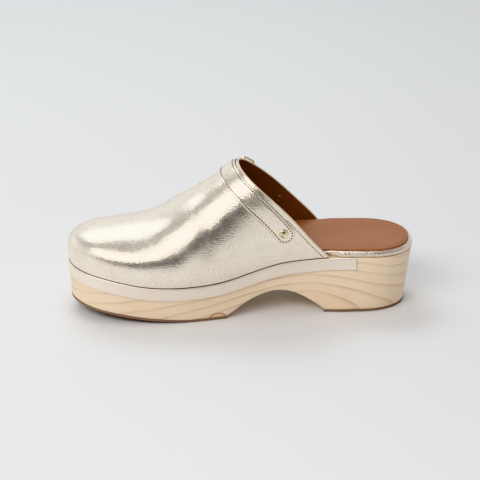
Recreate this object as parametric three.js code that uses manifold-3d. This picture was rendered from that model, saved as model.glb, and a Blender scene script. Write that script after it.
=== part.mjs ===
import * as THREE from "three";
import { mergeVertices } from "three/addons/utils/BufferGeometryUtils.js";
import Module from "manifold-3d";

// Platform clog for the right foot, in millimetres, standing on its sole.
// +X runs from the heel to the toe, +Y to the medial side and +Z up.
// While it is built, the heel's back edge is at x = 0 and the floor at z = 0.

// Sole
const SOLE_LENGTH = 260.5; // over the edge strip and the footbed's rim
const BALL_WIDTH = 94.4;
const HEEL_HEIGHT = 45.6; // top of the wood at the seat
const PLATFORM_HEIGHT = 29; // top of the wood under the ball
const HEEL_CAP = 38; // length of the heel's round end
const TOE_CAP = 62; // length of the toe's round end
const HEEL_BLOCK_LENGTH = 69; // heel's back edge to the heel's front corner
const FOREFOOT_START = 143; // where the forefoot meets the arch
const SPRING_START = 172; // where the toe begins to lift
const TOE_SPRING = 11;
const ARCH_RISE = 17.2;
const WOOD_SET = 0.4; // edge line to the wood's side
const HEEL_LEAN = 5; // how far the heel's back comes forward at the floor
const HEEL_LEAN_REACH = 110;
const TOE_LEAN = 1;
const SIDE_LEAN = 1.8; // how far the sides come in at the floor
const HEEL_TUCK = 5; // the same again at the heel's corners
const HEEL_TUCK_REACH = 55;
const RUBBER_THICKNESS = 2;
const CLEARANCE = 0.3;

// Edge strip in a rebate round the top of the wood
const STRIP_HEIGHT = 10;
const STRIP_THICKNESS = 1.2;
const STRIP_END_X = 46;

// Footbed and its tan cover
const FOOTBED_THICKNESS = 4.6;
const FOOTBED_TUCK = 3.6; // how far its edge steps in to pass inside the upper
const FOOTBED_TUCK_START = 55;
const FOOTBED_TUCK_END = 67;
const COVER_THICKNESS = 1;
const COVER_SET_IN = 2.9;
const COVER_TUCK = 1.6;

// Upper
const WALL = 2;
const INSTEP_HEIGHT = 79.5; // crest above the wood's top
const TOE_BOX_HEIGHT = 33;
const COLLAR_BASE_X = 66;
const CREST_X = 134.5;
const TOE_CENTRE_X = 203; // where the rings give way to the toe's fan
const WIDEST_HEIGHT = 9; // height of the lower bulge above the wood's top
const BULGE = 0.3;
const TURN_UNDER = 0.5;
const COLLAR_WAVE = 0.8;

// Instep strap, its buckle and its two rivets
const STRAP_WIDTH = 14.2;
const STRAP_THICKNESS = 1.4;
const STRAP_CREST_GAP = 1.8; // collar edge to the strap's rear edge over the crest
const STRAP_NEAR_GAP = 7.2; // the same at the medial end
const STRAP_FAR_GAP = 2; // the same at the lateral end
const STRAP_NEAR_LENGTH = 89; // crest to the near end, along the leather
const STRAP_FAR_LENGTH = 55;
const TAB_THICKNESS = 1;
const TAB_END = 83.3; // crest to the lateral tab's round end
const BUCKLE_START = 24; // crest to the frame's outer bar
const BUCKLE_LENGTH = 16;
const BUCKLE_WIDTH = 20.6;
const BAR_DIAMETER = 1.8;
const PRONG_DIAMETER = 1.4;
const PRONG_SLOT = 2.8;
const SNUG = 0.25; // between the leather loop, the prong and the bar
const RIVET_INSET = 8.8; // round end to the rivet's axis
const RIVET_HEAD_DIAMETER = 7;
const RIVET_HEAD_HEIGHT = 1.4;
const RIVET_POST_DIAMETER = 2.6;
const WASHER_DIAMETER = 6;
const WASHER_THICKNESS = 0.9;

// Natural cubic spline through rows of [share of the sole's length, value].
function spline(rows) {
  const count = rows.length;
  const slopes = new Array(count).fill(0);
  const work = new Array(count).fill(0);
  for (let i = 1; i < count - 1; i++) {
    const before = rows[i][0] - rows[i - 1][0];
    const after = rows[i + 1][0] - rows[i][0];
    const ratio = before / (before + after);
    const p = ratio * slopes[i - 1] + 2;
    slopes[i] = (ratio - 1) / p;
    const rise = (rows[i + 1][1] - rows[i][1]) / after - (rows[i][1] - rows[i - 1][1]) / before;
    work[i] = ((6 * rise) / (before + after) - ratio * work[i - 1]) / p;
  }
  for (let i = count - 2; i >= 0; i--) slopes[i] = slopes[i] * slopes[i + 1] + work[i];
  return (share) => {
    let i = 0;
    while (i < count - 2 && share > rows[i + 1][0]) i++;
    const gap = rows[i + 1][0] - rows[i][0];
    const a = (rows[i + 1][0] - share) / gap;
    const b = (share - rows[i][0]) / gap;
    const bend = ((a ** 3 - a) * slopes[i] + (b ** 3 - b) * slopes[i + 1]) * gap * gap;
    return a * rows[i][1] + b * rows[i + 1][1] + bend / 6;
  };
}

const clamp = (value, low, high) => Math.min(high, Math.max(low, value));
const mix = (a, b, share) => a + (b - a) * share;
const ease = (share) => share * share * (3 - 2 * share);

// Plan of the edge line: share of the length, then the centre line and the half width
// as shares of the ball width, before the round ends.
const PLAN = [
  [0.0, 0.034, 0.373], [0.08, 0.03, 0.371], [0.17, 0.017, 0.364], [0.27, -0.01, 0.367],
  [0.37, -0.025, 0.384], [0.47, -0.03, 0.422], [0.57, -0.019, 0.468], [0.67, -0.002, 0.5],
  [0.76, 0.017, 0.492], [0.85, 0.038, 0.462], [0.93, 0.055, 0.451], [1.0, 0.059, 0.449],
];
const centreShare = spline(PLAN.map(([at, centre]) => [at, centre]));
const halfShare = spline(PLAN.map(([at, , half]) => [at, half]));
const centreLine = (x) => BALL_WIDTH * centreShare(clamp(x / SOLE_LENGTH, 0, 1));
const halfWidth = (x) => BALL_WIDTH * halfShare(clamp(x / SOLE_LENGTH, 0, 1));
const HEEL_ROUND = 2.3;
const HEEL_SQUARE = 2.2;
const TOE_ROUND = 2.4;

function outline(x, side, grow) {
  const toe = clamp((x - (SOLE_LENGTH - TOE_CAP)) / (TOE_CAP + grow), 0, 1);
  const heel = clamp((HEEL_CAP - x) / (HEEL_CAP + grow), 0, 1);
  const toeEnd = (1 - toe ** TOE_ROUND) ** (1 / 2);
  const heelEnd = (1 - heel ** HEEL_ROUND) ** (1 / HEEL_SQUARE);
  return centreLine(x) + side * (halfWidth(x) + grow) * toeEnd * heelEnd;
}

// Top of the wood: share of the length, then 0 at the platform's height and 1 at the heel's.
const topShare = spline([
  [0.0, 1.0], [0.1, 1.0], [0.18, 0.994], [0.25, 0.964], [0.33, 0.867], [0.38, 0.789], [0.44, 0.578],
  [0.5, 0.319], [0.55, 0.133], [0.6, 0.036], [0.68, 0.0], [0.76, 0.054], [0.84, 0.229], [0.91, 0.422],
  [1.0, 0.602],
]);
const woodTop = (x) => mix(PLATFORM_HEIGHT, HEEL_HEIGHT, topShare(clamp(x / SOLE_LENGTH, 0, 1)));

// Underside of the rubber, which is flat under the heel and the ball.
const SPRING_CURVE = 1.3;
function floorLine(x) {
  const share = clamp((x - SPRING_START) / (SOLE_LENGTH - SPRING_START), 0, 1);
  return TOE_SPRING * share ** SPRING_CURVE;
}

// Arch: share of the gap between heel and forefoot, then share of its rise.
const archShare = spline([
  [0, 0], [0.12, 0.4], [0.25, 0.74], [0.36, 0.93], [0.47, 1], [0.58, 0.95], [0.7, 0.77], [0.82, 0.51],
  [0.92, 0.22], [1, 0],
]);
function woodBottom(x) {
  const share = clamp((x - HEEL_BLOCK_LENGTH) / (FOREFOOT_START - HEEL_BLOCK_LENGTH), 0, 1);
  return floorLine(x) + RUBBER_THICKNESS + CLEARANCE + ARCH_RISE * archShare(share);
}

// Closed solid from quads and triangles given as lists of points.
function solid(faces) {
  const found = new Map();
  const points = [];
  const indexOf = (point) => {
    const key = point.map((value) => Math.round(value * 2000)).join(" ");
    if (!found.has(key)) {
      found.set(key, points.length);
      points.push(point);
    }
    return found.get(key);
  };
  const triangles = [];
  for (const face of faces) {
    const ids = face.map(indexOf);
    for (let i = 1; i < ids.length - 1; i++) {
      const triangle = [ids[0], ids[i], ids[i + 1]];
      if (new Set(triangle).size === 3) triangles.push(triangle);
    }
  }
  let volume = 0;
  for (const [a, b, c] of triangles) {
    const [p, q, r] = [points[a], points[b], points[c]];
    volume += p[0] * (q[1] * r[2] - q[2] * r[1]) - p[1] * (q[0] * r[2] - q[2] * r[0]);
    volume += p[2] * (q[0] * r[1] - q[1] * r[0]);
  }
  const ordered = volume > 0 ? triangles : triangles.map(([a, b, c]) => [a, c, b]);
  const geometry = new THREE.BufferGeometry();
  geometry.setAttribute("position", new THREE.Float32BufferAttribute(points.flat(), 3));
  geometry.setIndex(ordered.flat());
  return geometry;
}

// Faces of a grid of points, rows[i][j].
function gridFaces(rows) {
  const faces = [];
  for (let i = 0; i < rows.length - 1; i++) {
    for (let j = 0; j < rows[i].length - 1; j++) {
      faces.push([rows[i][j], rows[i + 1][j], rows[i + 1][j + 1], rows[i][j + 1]]);
    }
  }
  return faces;
}

// A loft of closed sections: sides between neighbours and a flat fan over each end.
function loft(sections, closed = false) {
  const loops = sections.map((section) => [...section, section[0]]);
  const faces = gridFaces(closed ? [...loops, loops[0]] : loops);
  if (!closed) {
    faces.push(sections[0]);
    faces.push([...sections[sections.length - 1]].reverse());
  }
  return solid(faces);
}

// As a loft, for sections that go out along one side and back along the other: strips from side to
// side close its ends.
function flatLoft(sections) {
  const faces = gridFaces(sections.map((section) => [...section, section[0]]));
  const count = sections[0].length / 2;
  for (const section of [sections[0], [...sections[sections.length - 1]].reverse()]) {
    for (let i = 0; i < count - 1; i++) {
      faces.push([section[i], section[i + 1], section[2 * count - 2 - i], section[2 * count - 1 - i]]);
    }
  }
  return solid(faces);
}

// A plate whose edge follows the plan: rows run from its underside to its top, and each is a
// function of the station and the side. Its two faces are straight across the shoe.
function plate(stations, rows) {
  return flatLoft(stations.map((station) => {
    const near = rows.map((row) => row(station, 1));
    const far = rows.map((row) => row(station, -1));
    return [...near, ...far.reverse()];
  }));
}

// Stations along the length as nominal places, closer together in the round ends.
const HEEL_STATIONS = 10;
const MIDDLE_STATIONS = 22;
const TOE_STATIONS = 11;
function stationsBetween(start, end, extra = []) {
  const list = [];
  for (let i = 0; i <= HEEL_STATIONS; i++) {
    list.push(HEEL_CAP * (1 - Math.cos((i / HEEL_STATIONS) * (Math.PI / 2))));
  }
  const toeStart = SOLE_LENGTH - TOE_CAP;
  for (let i = 1; i < MIDDLE_STATIONS; i++) list.push(mix(HEEL_CAP, toeStart, i / MIDDLE_STATIONS));
  for (let i = 0; i <= TOE_STATIONS; i++) {
    list.push(toeStart + TOE_CAP * Math.sin((i / TOE_STATIONS) * (Math.PI / 2)));
  }
  const apart = 1.2; // stations closer than this to a fixed one are left out
  const fixed = [start, end, ...extra];
  const inside = list.filter((x) => x > start && x < end && fixed.every((at) => Math.abs(at - x) > apart));
  return [...inside, ...fixed].sort((a, b) => a - b);
}

// Point on the wood's side: the depth runs from 0 at the top to 1 at the underside.
function woodSide(station, side, depth) {
  const lean = HEEL_LEAN * clamp(1 - station / HEEL_LEAN_REACH, 0, 1) * depth;
  const share = station / SOLE_LENGTH;
  const x = mix(WOOD_SET, SOLE_LENGTH - WOOD_SET - TOE_LEAN * depth, share) + lean;
  const tuck = SIDE_LEAN + HEEL_TUCK * clamp(1 - station / HEEL_TUCK_REACH, 0, 1);
  return [x, outline(station, side, 0) - side * (WOOD_SET + tuck * depth) * sideFade(station)];
}
// The side's set-back fades out at the tips, where the set-back runs along the shoe.
function sideFade(station) {
  const toe = clamp((station - (SOLE_LENGTH - TOE_CAP)) / TOE_CAP, 0, 1);
  const heel = clamp((HEEL_CAP - station) / HEEL_CAP, 0, 1);
  return (1 - toe ** TOE_ROUND) ** (1 / 2) * (1 - heel ** HEEL_ROUND) ** (1 / HEEL_SQUARE);
}
// The station whose underside point lies at x.
function stationAt(x) {
  let low = 0;
  let high = SOLE_LENGTH;
  for (let i = 0; i < 50; i++) {
    const middle = (low + high) / 2;
    if (woodSide(middle, 1, 1)[0] < x) low = middle;
    else high = middle;
  }
  return (low + high) / 2;
}

const heelFront = stationAt(HEEL_BLOCK_LENGTH);
const forefootRear = stationAt(FOREFOOT_START);
const springStation = stationAt(SPRING_START);

function woodRow(depth) {
  return (station, side) => {
    const [x, y] = woodSide(station, side, depth);
    const top = woodTop(woodSide(station, side, 0)[0]);
    const bottom = woodBottom(woodSide(station, side, 1)[0]);
    return [x, y, mix(top, bottom, depth)];
  };
}
const woodStations = stationsBetween(0, SOLE_LENGTH, [heelFront, forefootRear, springStation]);
const woodBlank = plate(woodStations, [1, 0.7, 0.4, 0.2, 0].map(woodRow));

// Rubber under the forefoot and the heel, cut to the wood's underside.
function rubberRow(height) {
  return (station, side) => {
    const [x, y] = woodSide(station, side, 1);
    return [x, y, floorLine(x) + height];
  };
}
const rubberRows = [0, RUBBER_THICKNESS].map(rubberRow);
const outsoleForefoot = plate(stationsBetween(forefootRear, SOLE_LENGTH, [springStation]), rubberRows);
const outsoleHeel = plate(stationsBetween(0, heelFront), rubberRows);

// A band that runs from the medial side round the toe to the lateral side. Its profile is a list of
// places across the edge line and heights above the wood's top.
function edgeBand(start, profile) {
  const section = (x, side) => profile.map(([grow, height]) => {
    const reach = SOLE_LENGTH + grow;
    const place = Math.min(mix(start, reach, (x - start) / (SOLE_LENGTH - start)), reach);
    return [place, outline(place, side, grow), woodTop(x) + height];
  });
  const stations = stationsBetween(start, SOLE_LENGTH);
  return loft([
    ...stations.map((x) => section(x, 1)),
    ...stations.slice(0, -1).reverse().map((x) => section(x, -1)),
  ]);
}
const strip = edgeBand(STRIP_END_X, [
  [-STRIP_THICKNESS, -STRIP_HEIGHT], [-0.3 * STRIP_THICKNESS, -STRIP_HEIGHT],
  [0, 0.5 * STRIP_THICKNESS - STRIP_HEIGHT], [0, -0.6 * STRIP_THICKNESS],
  [-0.35 * STRIP_THICKNESS, 0], [-STRIP_THICKNESS, 0],
]);
// The rebate that the strip lies in, open to the side and to the top.
const REBATE_REACH = 3;
const rebateTool = edgeBand(STRIP_END_X - CLEARANCE, [
  [-STRIP_THICKNESS - CLEARANCE, -STRIP_HEIGHT - CLEARANCE], [REBATE_REACH, -STRIP_HEIGHT - CLEARANCE],
  [REBATE_REACH, REBATE_REACH], [-STRIP_THICKNESS - CLEARANCE, REBATE_REACH],
]);

// Footbed with a rounded, wrapped edge, and the tan cover on it.
function beddedRow(grow, height, tuck) {
  return (station, side) => {
    const tucked = -tuck * ease(clamp(
      (station - FOOTBED_TUCK_START) / (FOOTBED_TUCK_END - FOOTBED_TUCK_START), 0, 1));
    const x = mix(-grow, SOLE_LENGTH + grow - tuck, station / SOLE_LENGTH);
    const edge = outline(station, side, 0) + side * (grow + tucked) * sideFade(station);
    return [x, edge, woodTop(x) + height];
  };
}
const bedStations = stationsBetween(0, SOLE_LENGTH, [FOOTBED_TUCK_START, FOOTBED_TUCK_END]);
const bedTop = CLEARANCE + FOOTBED_THICKNESS;
const footbed = plate(bedStations, [
  [-1.4, CLEARANCE], [-0.4, CLEARANCE + 0.2 * FOOTBED_THICKNESS], [0, CLEARANCE + 0.5 * FOOTBED_THICKNESS],
  [-0.4, CLEARANCE + 0.8 * FOOTBED_THICKNESS], [-1.4, CLEARANCE + 0.96 * FOOTBED_THICKNESS], [-2.5, bedTop],
].map(([grow, height]) => beddedRow(grow, height, FOOTBED_TUCK)));
const coverTop = bedTop + CLEARANCE + COVER_THICKNESS;
const cover = plate(bedStations, [
  [-COVER_SET_IN, bedTop + CLEARANCE], [-COVER_SET_IN, coverTop - 0.4 * COVER_THICKNESS],
  [-COVER_SET_IN - 0.5 * COVER_THICKNESS, coverTop],
].map(([grow, height]) => beddedRow(grow, height, COVER_TUCK)));

// The upper's form. Each row is a share of the length, the ridge height (0 at the toe box, 1 at the
// crest), the roundness of the sides and of the crown, and the ridge's shift as a share of BALL_WIDTH.
const SECTIONS = [
  [0.25, 1.785, 2.3, 1.9, 0.095], [0.38, 1.419, 2.3, 1.9, 0.1], [0.51, 0.978, 2.2, 1.9, 0.095],
  [0.6, 0.72, 2.2, 1.9, 0.074], [0.69, 0.425, 2.1, 2.0, 0.053], [0.77, 0.172, 2.05, 2.1, 0.037],
  [0.84, 0.06, 2.0, 2.2, 0.026], [0.92, 0.005, 2.0, 2.5, 0.016], [1.0, 0.0, 2.0, 2.8, 0.011],
];
const column = (index) => spline(SECTIONS.map((row) => [row[0], row[index]]));
const [ridgeShare, sideRound, crownRound, ridgeShift] = [1, 2, 3, 4].map(column);

// Below 1 inside the form, at a height above the wood's top.
function form(x, y, height, inset) {
  const share = clamp(x / SOLE_LENGTH, SECTIONS[0][0], 1);
  const low = clamp(1 - height / WIDEST_HEIGHT, 0, 1);
  const grow = BULGE - (BULGE + TURN_UNDER) * low * low - inset;
  const ridge = mix(TOE_BOX_HEIGHT, INSTEP_HEIGHT, ridgeShare(share)) - inset;
  const rise = Math.max(height - WIDEST_HEIGHT, 0) / (ridge - WIDEST_HEIGHT);
  const middle = centreLine(x) + BALL_WIDTH * ridgeShift(share) * clamp(height / ridge, 0, 1.2) ** 1.5;
  const across = Math.abs(y - middle) / (halfWidth(x) + grow);
  const ahead = Math.max(x - (SOLE_LENGTH - TOE_CAP), 0) / (TOE_CAP + grow);
  return across ** sideRound(share) + rise ** crownRound(share) + ahead ** TOE_ROUND;
}

const FARTHEST = 170;
function reachOut(origin, direction, inset) {
  let low = 0;
  let high = FARTHEST;
  for (let i = 0; i < 36; i++) {
    const middle = (low + high) / 2;
    const [x, y, height] = origin.map((value, k) => value + direction[k] * middle);
    if (form(x, y, Math.max(height, 0), inset) < 1) low = middle;
    else high = middle;
  }
  return origin.map((value, k) => value + (direction[k] * (low + high)) / 2);
}
const lifted = ([x, y, height]) => [x, y, woodTop(x) + CLEARANCE + height];

// Ring point: along runs from 0 at the collar to 1 at the toe's centre, and the angle from 0 at
// the medial edge over the ridge to 180 degrees at the lateral edge.
const collarLean = Math.atan2(INSTEP_HEIGHT, CREST_X - COLLAR_BASE_X);
function ringPoint(along, degrees, inset = 0) {
  const angle = THREE.MathUtils.degToRad(degrees);
  const wave = COLLAR_WAVE * (Math.sin(4 * angle) - (1 - Math.cos(angle)) / 2);
  const x = mix(COLLAR_BASE_X, TOE_CENTRE_X, along) + wave * (1 - along) ** 2;
  const lean = mix(Math.PI / 2, collarLean, Math.max(1 - along, 0) ** 1.5);
  const direction = [Math.sin(angle) * Math.cos(lean), Math.cos(angle), Math.sin(angle) * Math.sin(lean)];
  return lifted(reachOut([x, centreLine(x), 0], direction, inset));
}
// Fan point round the toe: the bearing runs from 90 (medial) through 0 (tip) to -90 degrees.
function fanPoint(bearing, degrees, inset = 0) {
  const turn = THREE.MathUtils.degToRad(bearing);
  const angle = THREE.MathUtils.degToRad(degrees);
  const flat = Math.cos(angle);
  const direction = [flat * Math.cos(turn), flat * Math.sin(turn), Math.sin(angle)];
  return lifted(reachOut([TOE_CENTRE_X, centreLine(TOE_CENTRE_X), 0], direction, inset));
}

const RINGS = 16;
const RING_STEPS = 15; // from one edge to the ridge
const FAN_STEPS = 16;
const steps = (count, start, end) => Array.from({ length: count + 1 }, (_, i) => mix(start, end, i / count));
function upperSkin(inset) {
  const rings = steps(RINGS, 0, 1);
  const bearings = steps(FAN_STEPS, 90, -90).slice(1, -1);
  const climb = steps(RING_STEPS, 0, 90);
  return [
    ...rings.map((along) => climb.map((degrees) => ringPoint(along, degrees, inset))),
    ...bearings.map((bearing) => climb.map((degrees) => fanPoint(bearing, degrees, inset))),
    ...[...rings].reverse().map((along) => climb.map((degrees) => ringPoint(along, 180 - degrees, inset))),
  ];
}
function upperSolid() {
  const outer = upperSkin(0);
  const inner = upperSkin(WALL);
  const last = outer.length - 1;
  const topline = (skin) => [...skin[0], ...[...skin[last]].reverse()];
  const feather = (skin) => skin.map((row) => row[0]);
  return solid([
    ...gridFaces(outer),
    ...gridFaces(inner).map((face) => face.reverse()),
    ...gridFaces([topline(inner), topline(outer)]),
    ...gridFaces([feather(outer), feather(inner)]),
  ]);
}

// Places on the upper. A point's level is 1 on the leather's outer face.
const levelAt = (x, y, z) => form(x, y, Math.max(z - CLEARANCE - woodTop(x), 0), 0);
function outward(point) {
  const [x, y, z] = point.toArray();
  const small = 0.05;
  return new THREE.Vector3(
    levelAt(x + small, y, z) - levelAt(x - small, y, z),
    levelAt(x, y + small, z) - levelAt(x, y - small, z),
    levelAt(x, y, z + small) - levelAt(x, y, z - small),
  ).normalize();
}
// Slides a point along a direction until it lies on the leather.
function settle(point, direction) {
  let low = -14;
  let high = 14;
  for (let i = 0; i < 30; i++) {
    const at = (low + high) / 2;
    const trial = point.clone().addScaledVector(direction, at);
    if (levelAt(...trial.toArray()) < 1) low = at;
    else high = at;
  }
  return point.clone().addScaledVector(direction, (low + high) / 2);
}
const towardsToe = (ahead, out) => {
  const across = new THREE.Vector3().crossVectors(out, ahead).normalize();
  return across.x < 0 ? across.negate() : across;
};
// Middle of the strap beside the collar's edge, at an angle round the ring.
function strapMiddle(degrees) {
  const edge = new THREE.Vector3(...ringPoint(0, degrees));
  const ahead = new THREE.Vector3(...ringPoint(0, degrees + 0.5)).sub(edge);
  const out = outward(edge);
  const side = Math.cos(THREE.MathUtils.degToRad(degrees)) ** 2;
  const endGap = degrees < 90 ? STRAP_NEAR_GAP : STRAP_FAR_GAP;
  const distance = mix(STRAP_CREST_GAP, endGap, side) + STRAP_WIDTH / 2;
  return settle(edge.addScaledVector(towardsToe(ahead, out), distance), out);
}
// The strap's middle line, by its run from the crest: negative to the medial side.
const runTable = steps(84, 6, 174).map((degrees) => ({ degrees, point: strapMiddle(degrees), run: 0 }));
runTable.forEach((row, i) => {
  if (i > 0) row.run = runTable[i - 1].run + row.point.distanceTo(runTable[i - 1].point);
});
const crestRun = runTable[42].run;
for (const row of runTable) row.run -= crestRun;
const middleCurve = new THREE.CatmullRomCurve3(runTable.map((row) => row.point), false, "centripetal");
function lineAt(run) {
  let i = 0;
  while (i < runTable.length - 2 && run > runTable[i + 1].run) i++;
  const share = (run - runTable[i].run) / (runTable[i + 1].run - runTable[i].run);
  return clamp((i + share) / (runTable.length - 1), 0, 1);
}
function frameAt(run) {
  const at = lineAt(run);
  const point = middleCurve.getPoint(at);
  const ahead = middleCurve.getTangent(at);
  const out = outward(point);
  return { point, ahead, out, across: towardsToe(ahead, out) };
}
// A place by its run along the strap's line, its distance towards the toe and its lift.
function place(run, across, lift) {
  const frame = frameAt(run);
  const foot = settle(frame.point.addScaledVector(frame.across, across), frame.out);
  return foot.addScaledVector(outward(foot), lift).toArray();
}

// A leather band on the upper: each place along its path has its run, the lift of its middle, the
// slope of the path against the leather, and half its width.
const BAND_COLUMNS = 4;
function leather(path, thickness) {
  const shares = steps(BAND_COLUMNS, -1, 1);
  return flatLoft(path.map(({ run, lift, slope, half }) => {
    const back = -Math.sin(slope) * (thickness / 2);
    const up = Math.cos(slope) * (thickness / 2);
    const under = shares.map((share) => place(run - back, share * half, lift - up));
    const top = [...shares].reverse().map((share) => place(run + back, share * half, lift + up));
    return [...under, ...top];
  }));
}
// Runs between two ends, closer together in a round end.
const END_STEPS = 5;
const BAND_HALF = STRAP_WIDTH / 2;
const cornerAt = (i) => BAND_HALF * (1 - Math.cos(((i + 0.35) / (END_STEPS + 0.35)) * (Math.PI / 2)));
const corners = steps(END_STEPS - 1, 0, END_STEPS - 1).map(cornerAt);
const spread = (start, end, step) => steps(Math.ceil((end - start) / step), start, end);
const halfFrom = (distance) => BAND_HALF * Math.sqrt(1 - clamp(1 - distance / BAND_HALF, 0, 1) ** 2);

// Instep strap: a round medial end with its rivet, over the crest and under the buckle.
const strapStart = -STRAP_NEAR_LENGTH;
const strapLift = CLEARANCE + STRAP_THICKNESS / 2;
const strapTop = CLEARANCE + STRAP_THICKNESS;
const strapRuns = [
  ...corners.map((distance) => strapStart + distance),
  ...spread(strapStart + BAND_HALF, STRAP_FAR_LENGTH, 3.4),
];
const strapBand = leather(strapRuns.map((run) => (
  { run, lift: strapLift, slope: 0, half: halfFrom(run - strapStart) })), STRAP_THICKNESS);

// Lateral tab: from its round end it climbs over the strap's end and loops over the heel bar.
const barRadius = BAR_DIAMETER / 2;
const barLift = strapTop + CLEARANCE + barRadius;
const heelBarRun = BUCKLE_START + BUCKLE_LENGTH - BAR_DIAMETER;
const loopRadius = barRadius + SNUG + TAB_THICKNESS / 2;
const tabOnStrap = strapTop + CLEARANCE + TAB_THICKNESS / 2;
const tabOnUpper = CLEARANCE + TAB_THICKNESS / 2;
const FRAME_CORNER = 2.4;
const frameHalf = BUCKLE_WIDTH / 2 - barRadius;
const loopHalf = Math.min(BAND_HALF, frameHalf - FRAME_CORNER - CLEARANCE);
const LOOP_SETTLE = 7; // from the bar to where the tab lies on the strap
const STRAP_END_STEP = 5; // from over the strap's end down to the upper
const loopTurns = steps(6, -80, 20);
const tabPath = [
  ...loopTurns.map((degrees) => {
    const turn = THREE.MathUtils.degToRad(degrees);
    return {
      run: heelBarRun + loopRadius * Math.sin(turn), lift: barLift + loopRadius * Math.cos(turn),
      slope: -turn, half: loopHalf,
    };
  }),
  ...steps(3, 0.45, 1).map((share) => ({
    run: heelBarRun + LOOP_SETTLE * share, lift: mix(barLift + loopRadius, tabOnStrap, ease(share)),
    slope: 0, half: mix(loopHalf, BAND_HALF, share),
  })),
  ...spread(heelBarRun + LOOP_SETTLE + 2, STRAP_FAR_LENGTH + 0.6, 3).map((run) => (
    { run, lift: tabOnStrap, slope: 0, half: BAND_HALF })),
  ...steps(3, 0.33, 1).map((share) => ({
    run: STRAP_FAR_LENGTH + 0.6 + STRAP_END_STEP * share, lift: mix(tabOnStrap, tabOnUpper, ease(share)),
    slope: 0, half: BAND_HALF,
  })),
  ...spread(STRAP_FAR_LENGTH + STRAP_END_STEP + 3, TAB_END - BAND_HALF, 4.6).map((run) => (
    { run, lift: tabOnUpper, slope: 0, half: BAND_HALF })),
  ...[...corners].reverse().map((distance) => (
    { run: TAB_END - distance, lift: tabOnUpper, slope: 0, half: halfFrom(distance) })),
];
const tabBand = leather(tabPath, TAB_THICKNESS);

// Round bar swept along a path of places, closed on itself or with flat ends.
const BAR_SIDES = 8;
function bar(path, radiusAt, closed) {
  const count = path.length;
  return loft(path.map((point, i) => {
    const before = path[closed ? (i + count - 1) % count : Math.max(i - 1, 0)];
    const after = path[closed ? (i + 1) % count : Math.min(i + 1, count - 1)];
    const ahead = after.spot.clone().sub(before.spot).normalize();
    const side = new THREE.Vector3().crossVectors(ahead, point.out).normalize();
    const up = new THREE.Vector3().crossVectors(side, ahead);
    return steps(BAR_SIDES, 0, 2 * Math.PI).slice(0, -1).map((turn) => point.spot.clone()
      .addScaledVector(side, Math.cos(turn) * radiusAt(i)).addScaledVector(up, Math.sin(turn) * radiusAt(i))
      .toArray());
  }), closed);
}
const pathPoint = (run, across, lift) => (
  { spot: new THREE.Vector3(...place(run, across, lift)), out: frameAt(run).out });

// Buckle frame: a rounded rectangle of round bar that follows the leather.
const frameStart = BUCKLE_START + barRadius;
const frameEnd = heelBarRun;
function framePath() {
  const path = [];
  const corner = (run, across, from) => steps(3, from, from + 90).forEach((degrees) => {
    const turn = THREE.MathUtils.degToRad(degrees);
    path.push([run + FRAME_CORNER * Math.cos(turn), across + FRAME_CORNER * Math.sin(turn)]);
  });
  const reach = frameHalf - FRAME_CORNER;
  corner(frameEnd - FRAME_CORNER, reach, 0);
  path.push([(frameStart + frameEnd) / 2, frameHalf]);
  corner(frameStart + FRAME_CORNER, reach, 90);
  for (const share of [0.5, 0, -0.5]) path.push([frameStart, share * reach]);
  corner(frameStart + FRAME_CORNER, -reach, 180);
  path.push([(frameStart + frameEnd) / 2, -frameHalf]);
  corner(frameEnd - FRAME_CORNER, -reach, 270);
  for (const share of [-0.5, 0, 0.5]) path.push([frameEnd, share * reach]);
  return path.map(([run, across]) => pathPoint(run, across, barLift));
}
const buckleFrame = bar(framePath(), () => barRadius, true);

// Prong: hooks over the heel bar and rests on the outer bar.
const prongRadius = PRONG_DIAMETER / 2;
const hookRadius = barRadius + SNUG + prongRadius;
const prongPath = [
  ...steps(4, 100, 0).map((degrees) => {
    const turn = THREE.MathUtils.degToRad(degrees);
    return pathPoint(heelBarRun + hookRadius * Math.sin(turn), 0, barLift + hookRadius * Math.cos(turn));
  }),
  ...steps(4, 0.25, 1).map((share) => pathPoint(
    mix(heelBarRun, frameStart - barRadius - 0.8, share), 0, barLift + hookRadius)),
];
const buckleProng = bar(prongPath, (i) => prongRadius * (i < 6 ? 1 : mix(1, 0.6, (i - 5) / 4)), false);

// Rivets: a domed head outside, a post and a washer inside.
function rivetGeometry(stackTop) {
  const head = stackTop + CLEARANCE;
  const inside = -WALL - 2 * CLEARANCE;
  const headRadius = RIVET_HEAD_DIAMETER / 2;
  const postRadius = RIVET_POST_DIAMETER / 2;
  const washerRadius = WASHER_DIAMETER / 2;
  const profile = [
    [0, inside - WASHER_THICKNESS], [washerRadius - 0.4, inside - WASHER_THICKNESS],
    [washerRadius, inside - 0.4 * WASHER_THICKNESS], [washerRadius, inside], [postRadius, inside],
    [postRadius, head], [headRadius, head], [headRadius, head + 0.35 * RIVET_HEAD_HEIGHT],
    [0.85 * headRadius, head + 0.7 * RIVET_HEAD_HEIGHT], [0.5 * headRadius, head + 0.93 * RIVET_HEAD_HEIGHT],
    [0, head + RIVET_HEAD_HEIGHT],
  ];
  return new THREE.LatheGeometry(profile.map(([radius, lift]) => new THREE.Vector2(radius, lift)), 24);
}
function rivetPlace(run) {
  const { point, out } = frameAt(run);
  const turn = new THREE.Quaternion().setFromUnitVectors(new THREE.Vector3(0, 1, 0), out);
  return new THREE.Matrix4().compose(point, turn, new THREE.Vector3(1, 1, 1));
}
const nearRivetPlace = rivetPlace(strapStart + RIVET_INSET);
const farRivetPlace = rivetPlace(TAB_END - RIVET_INSET);

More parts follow.
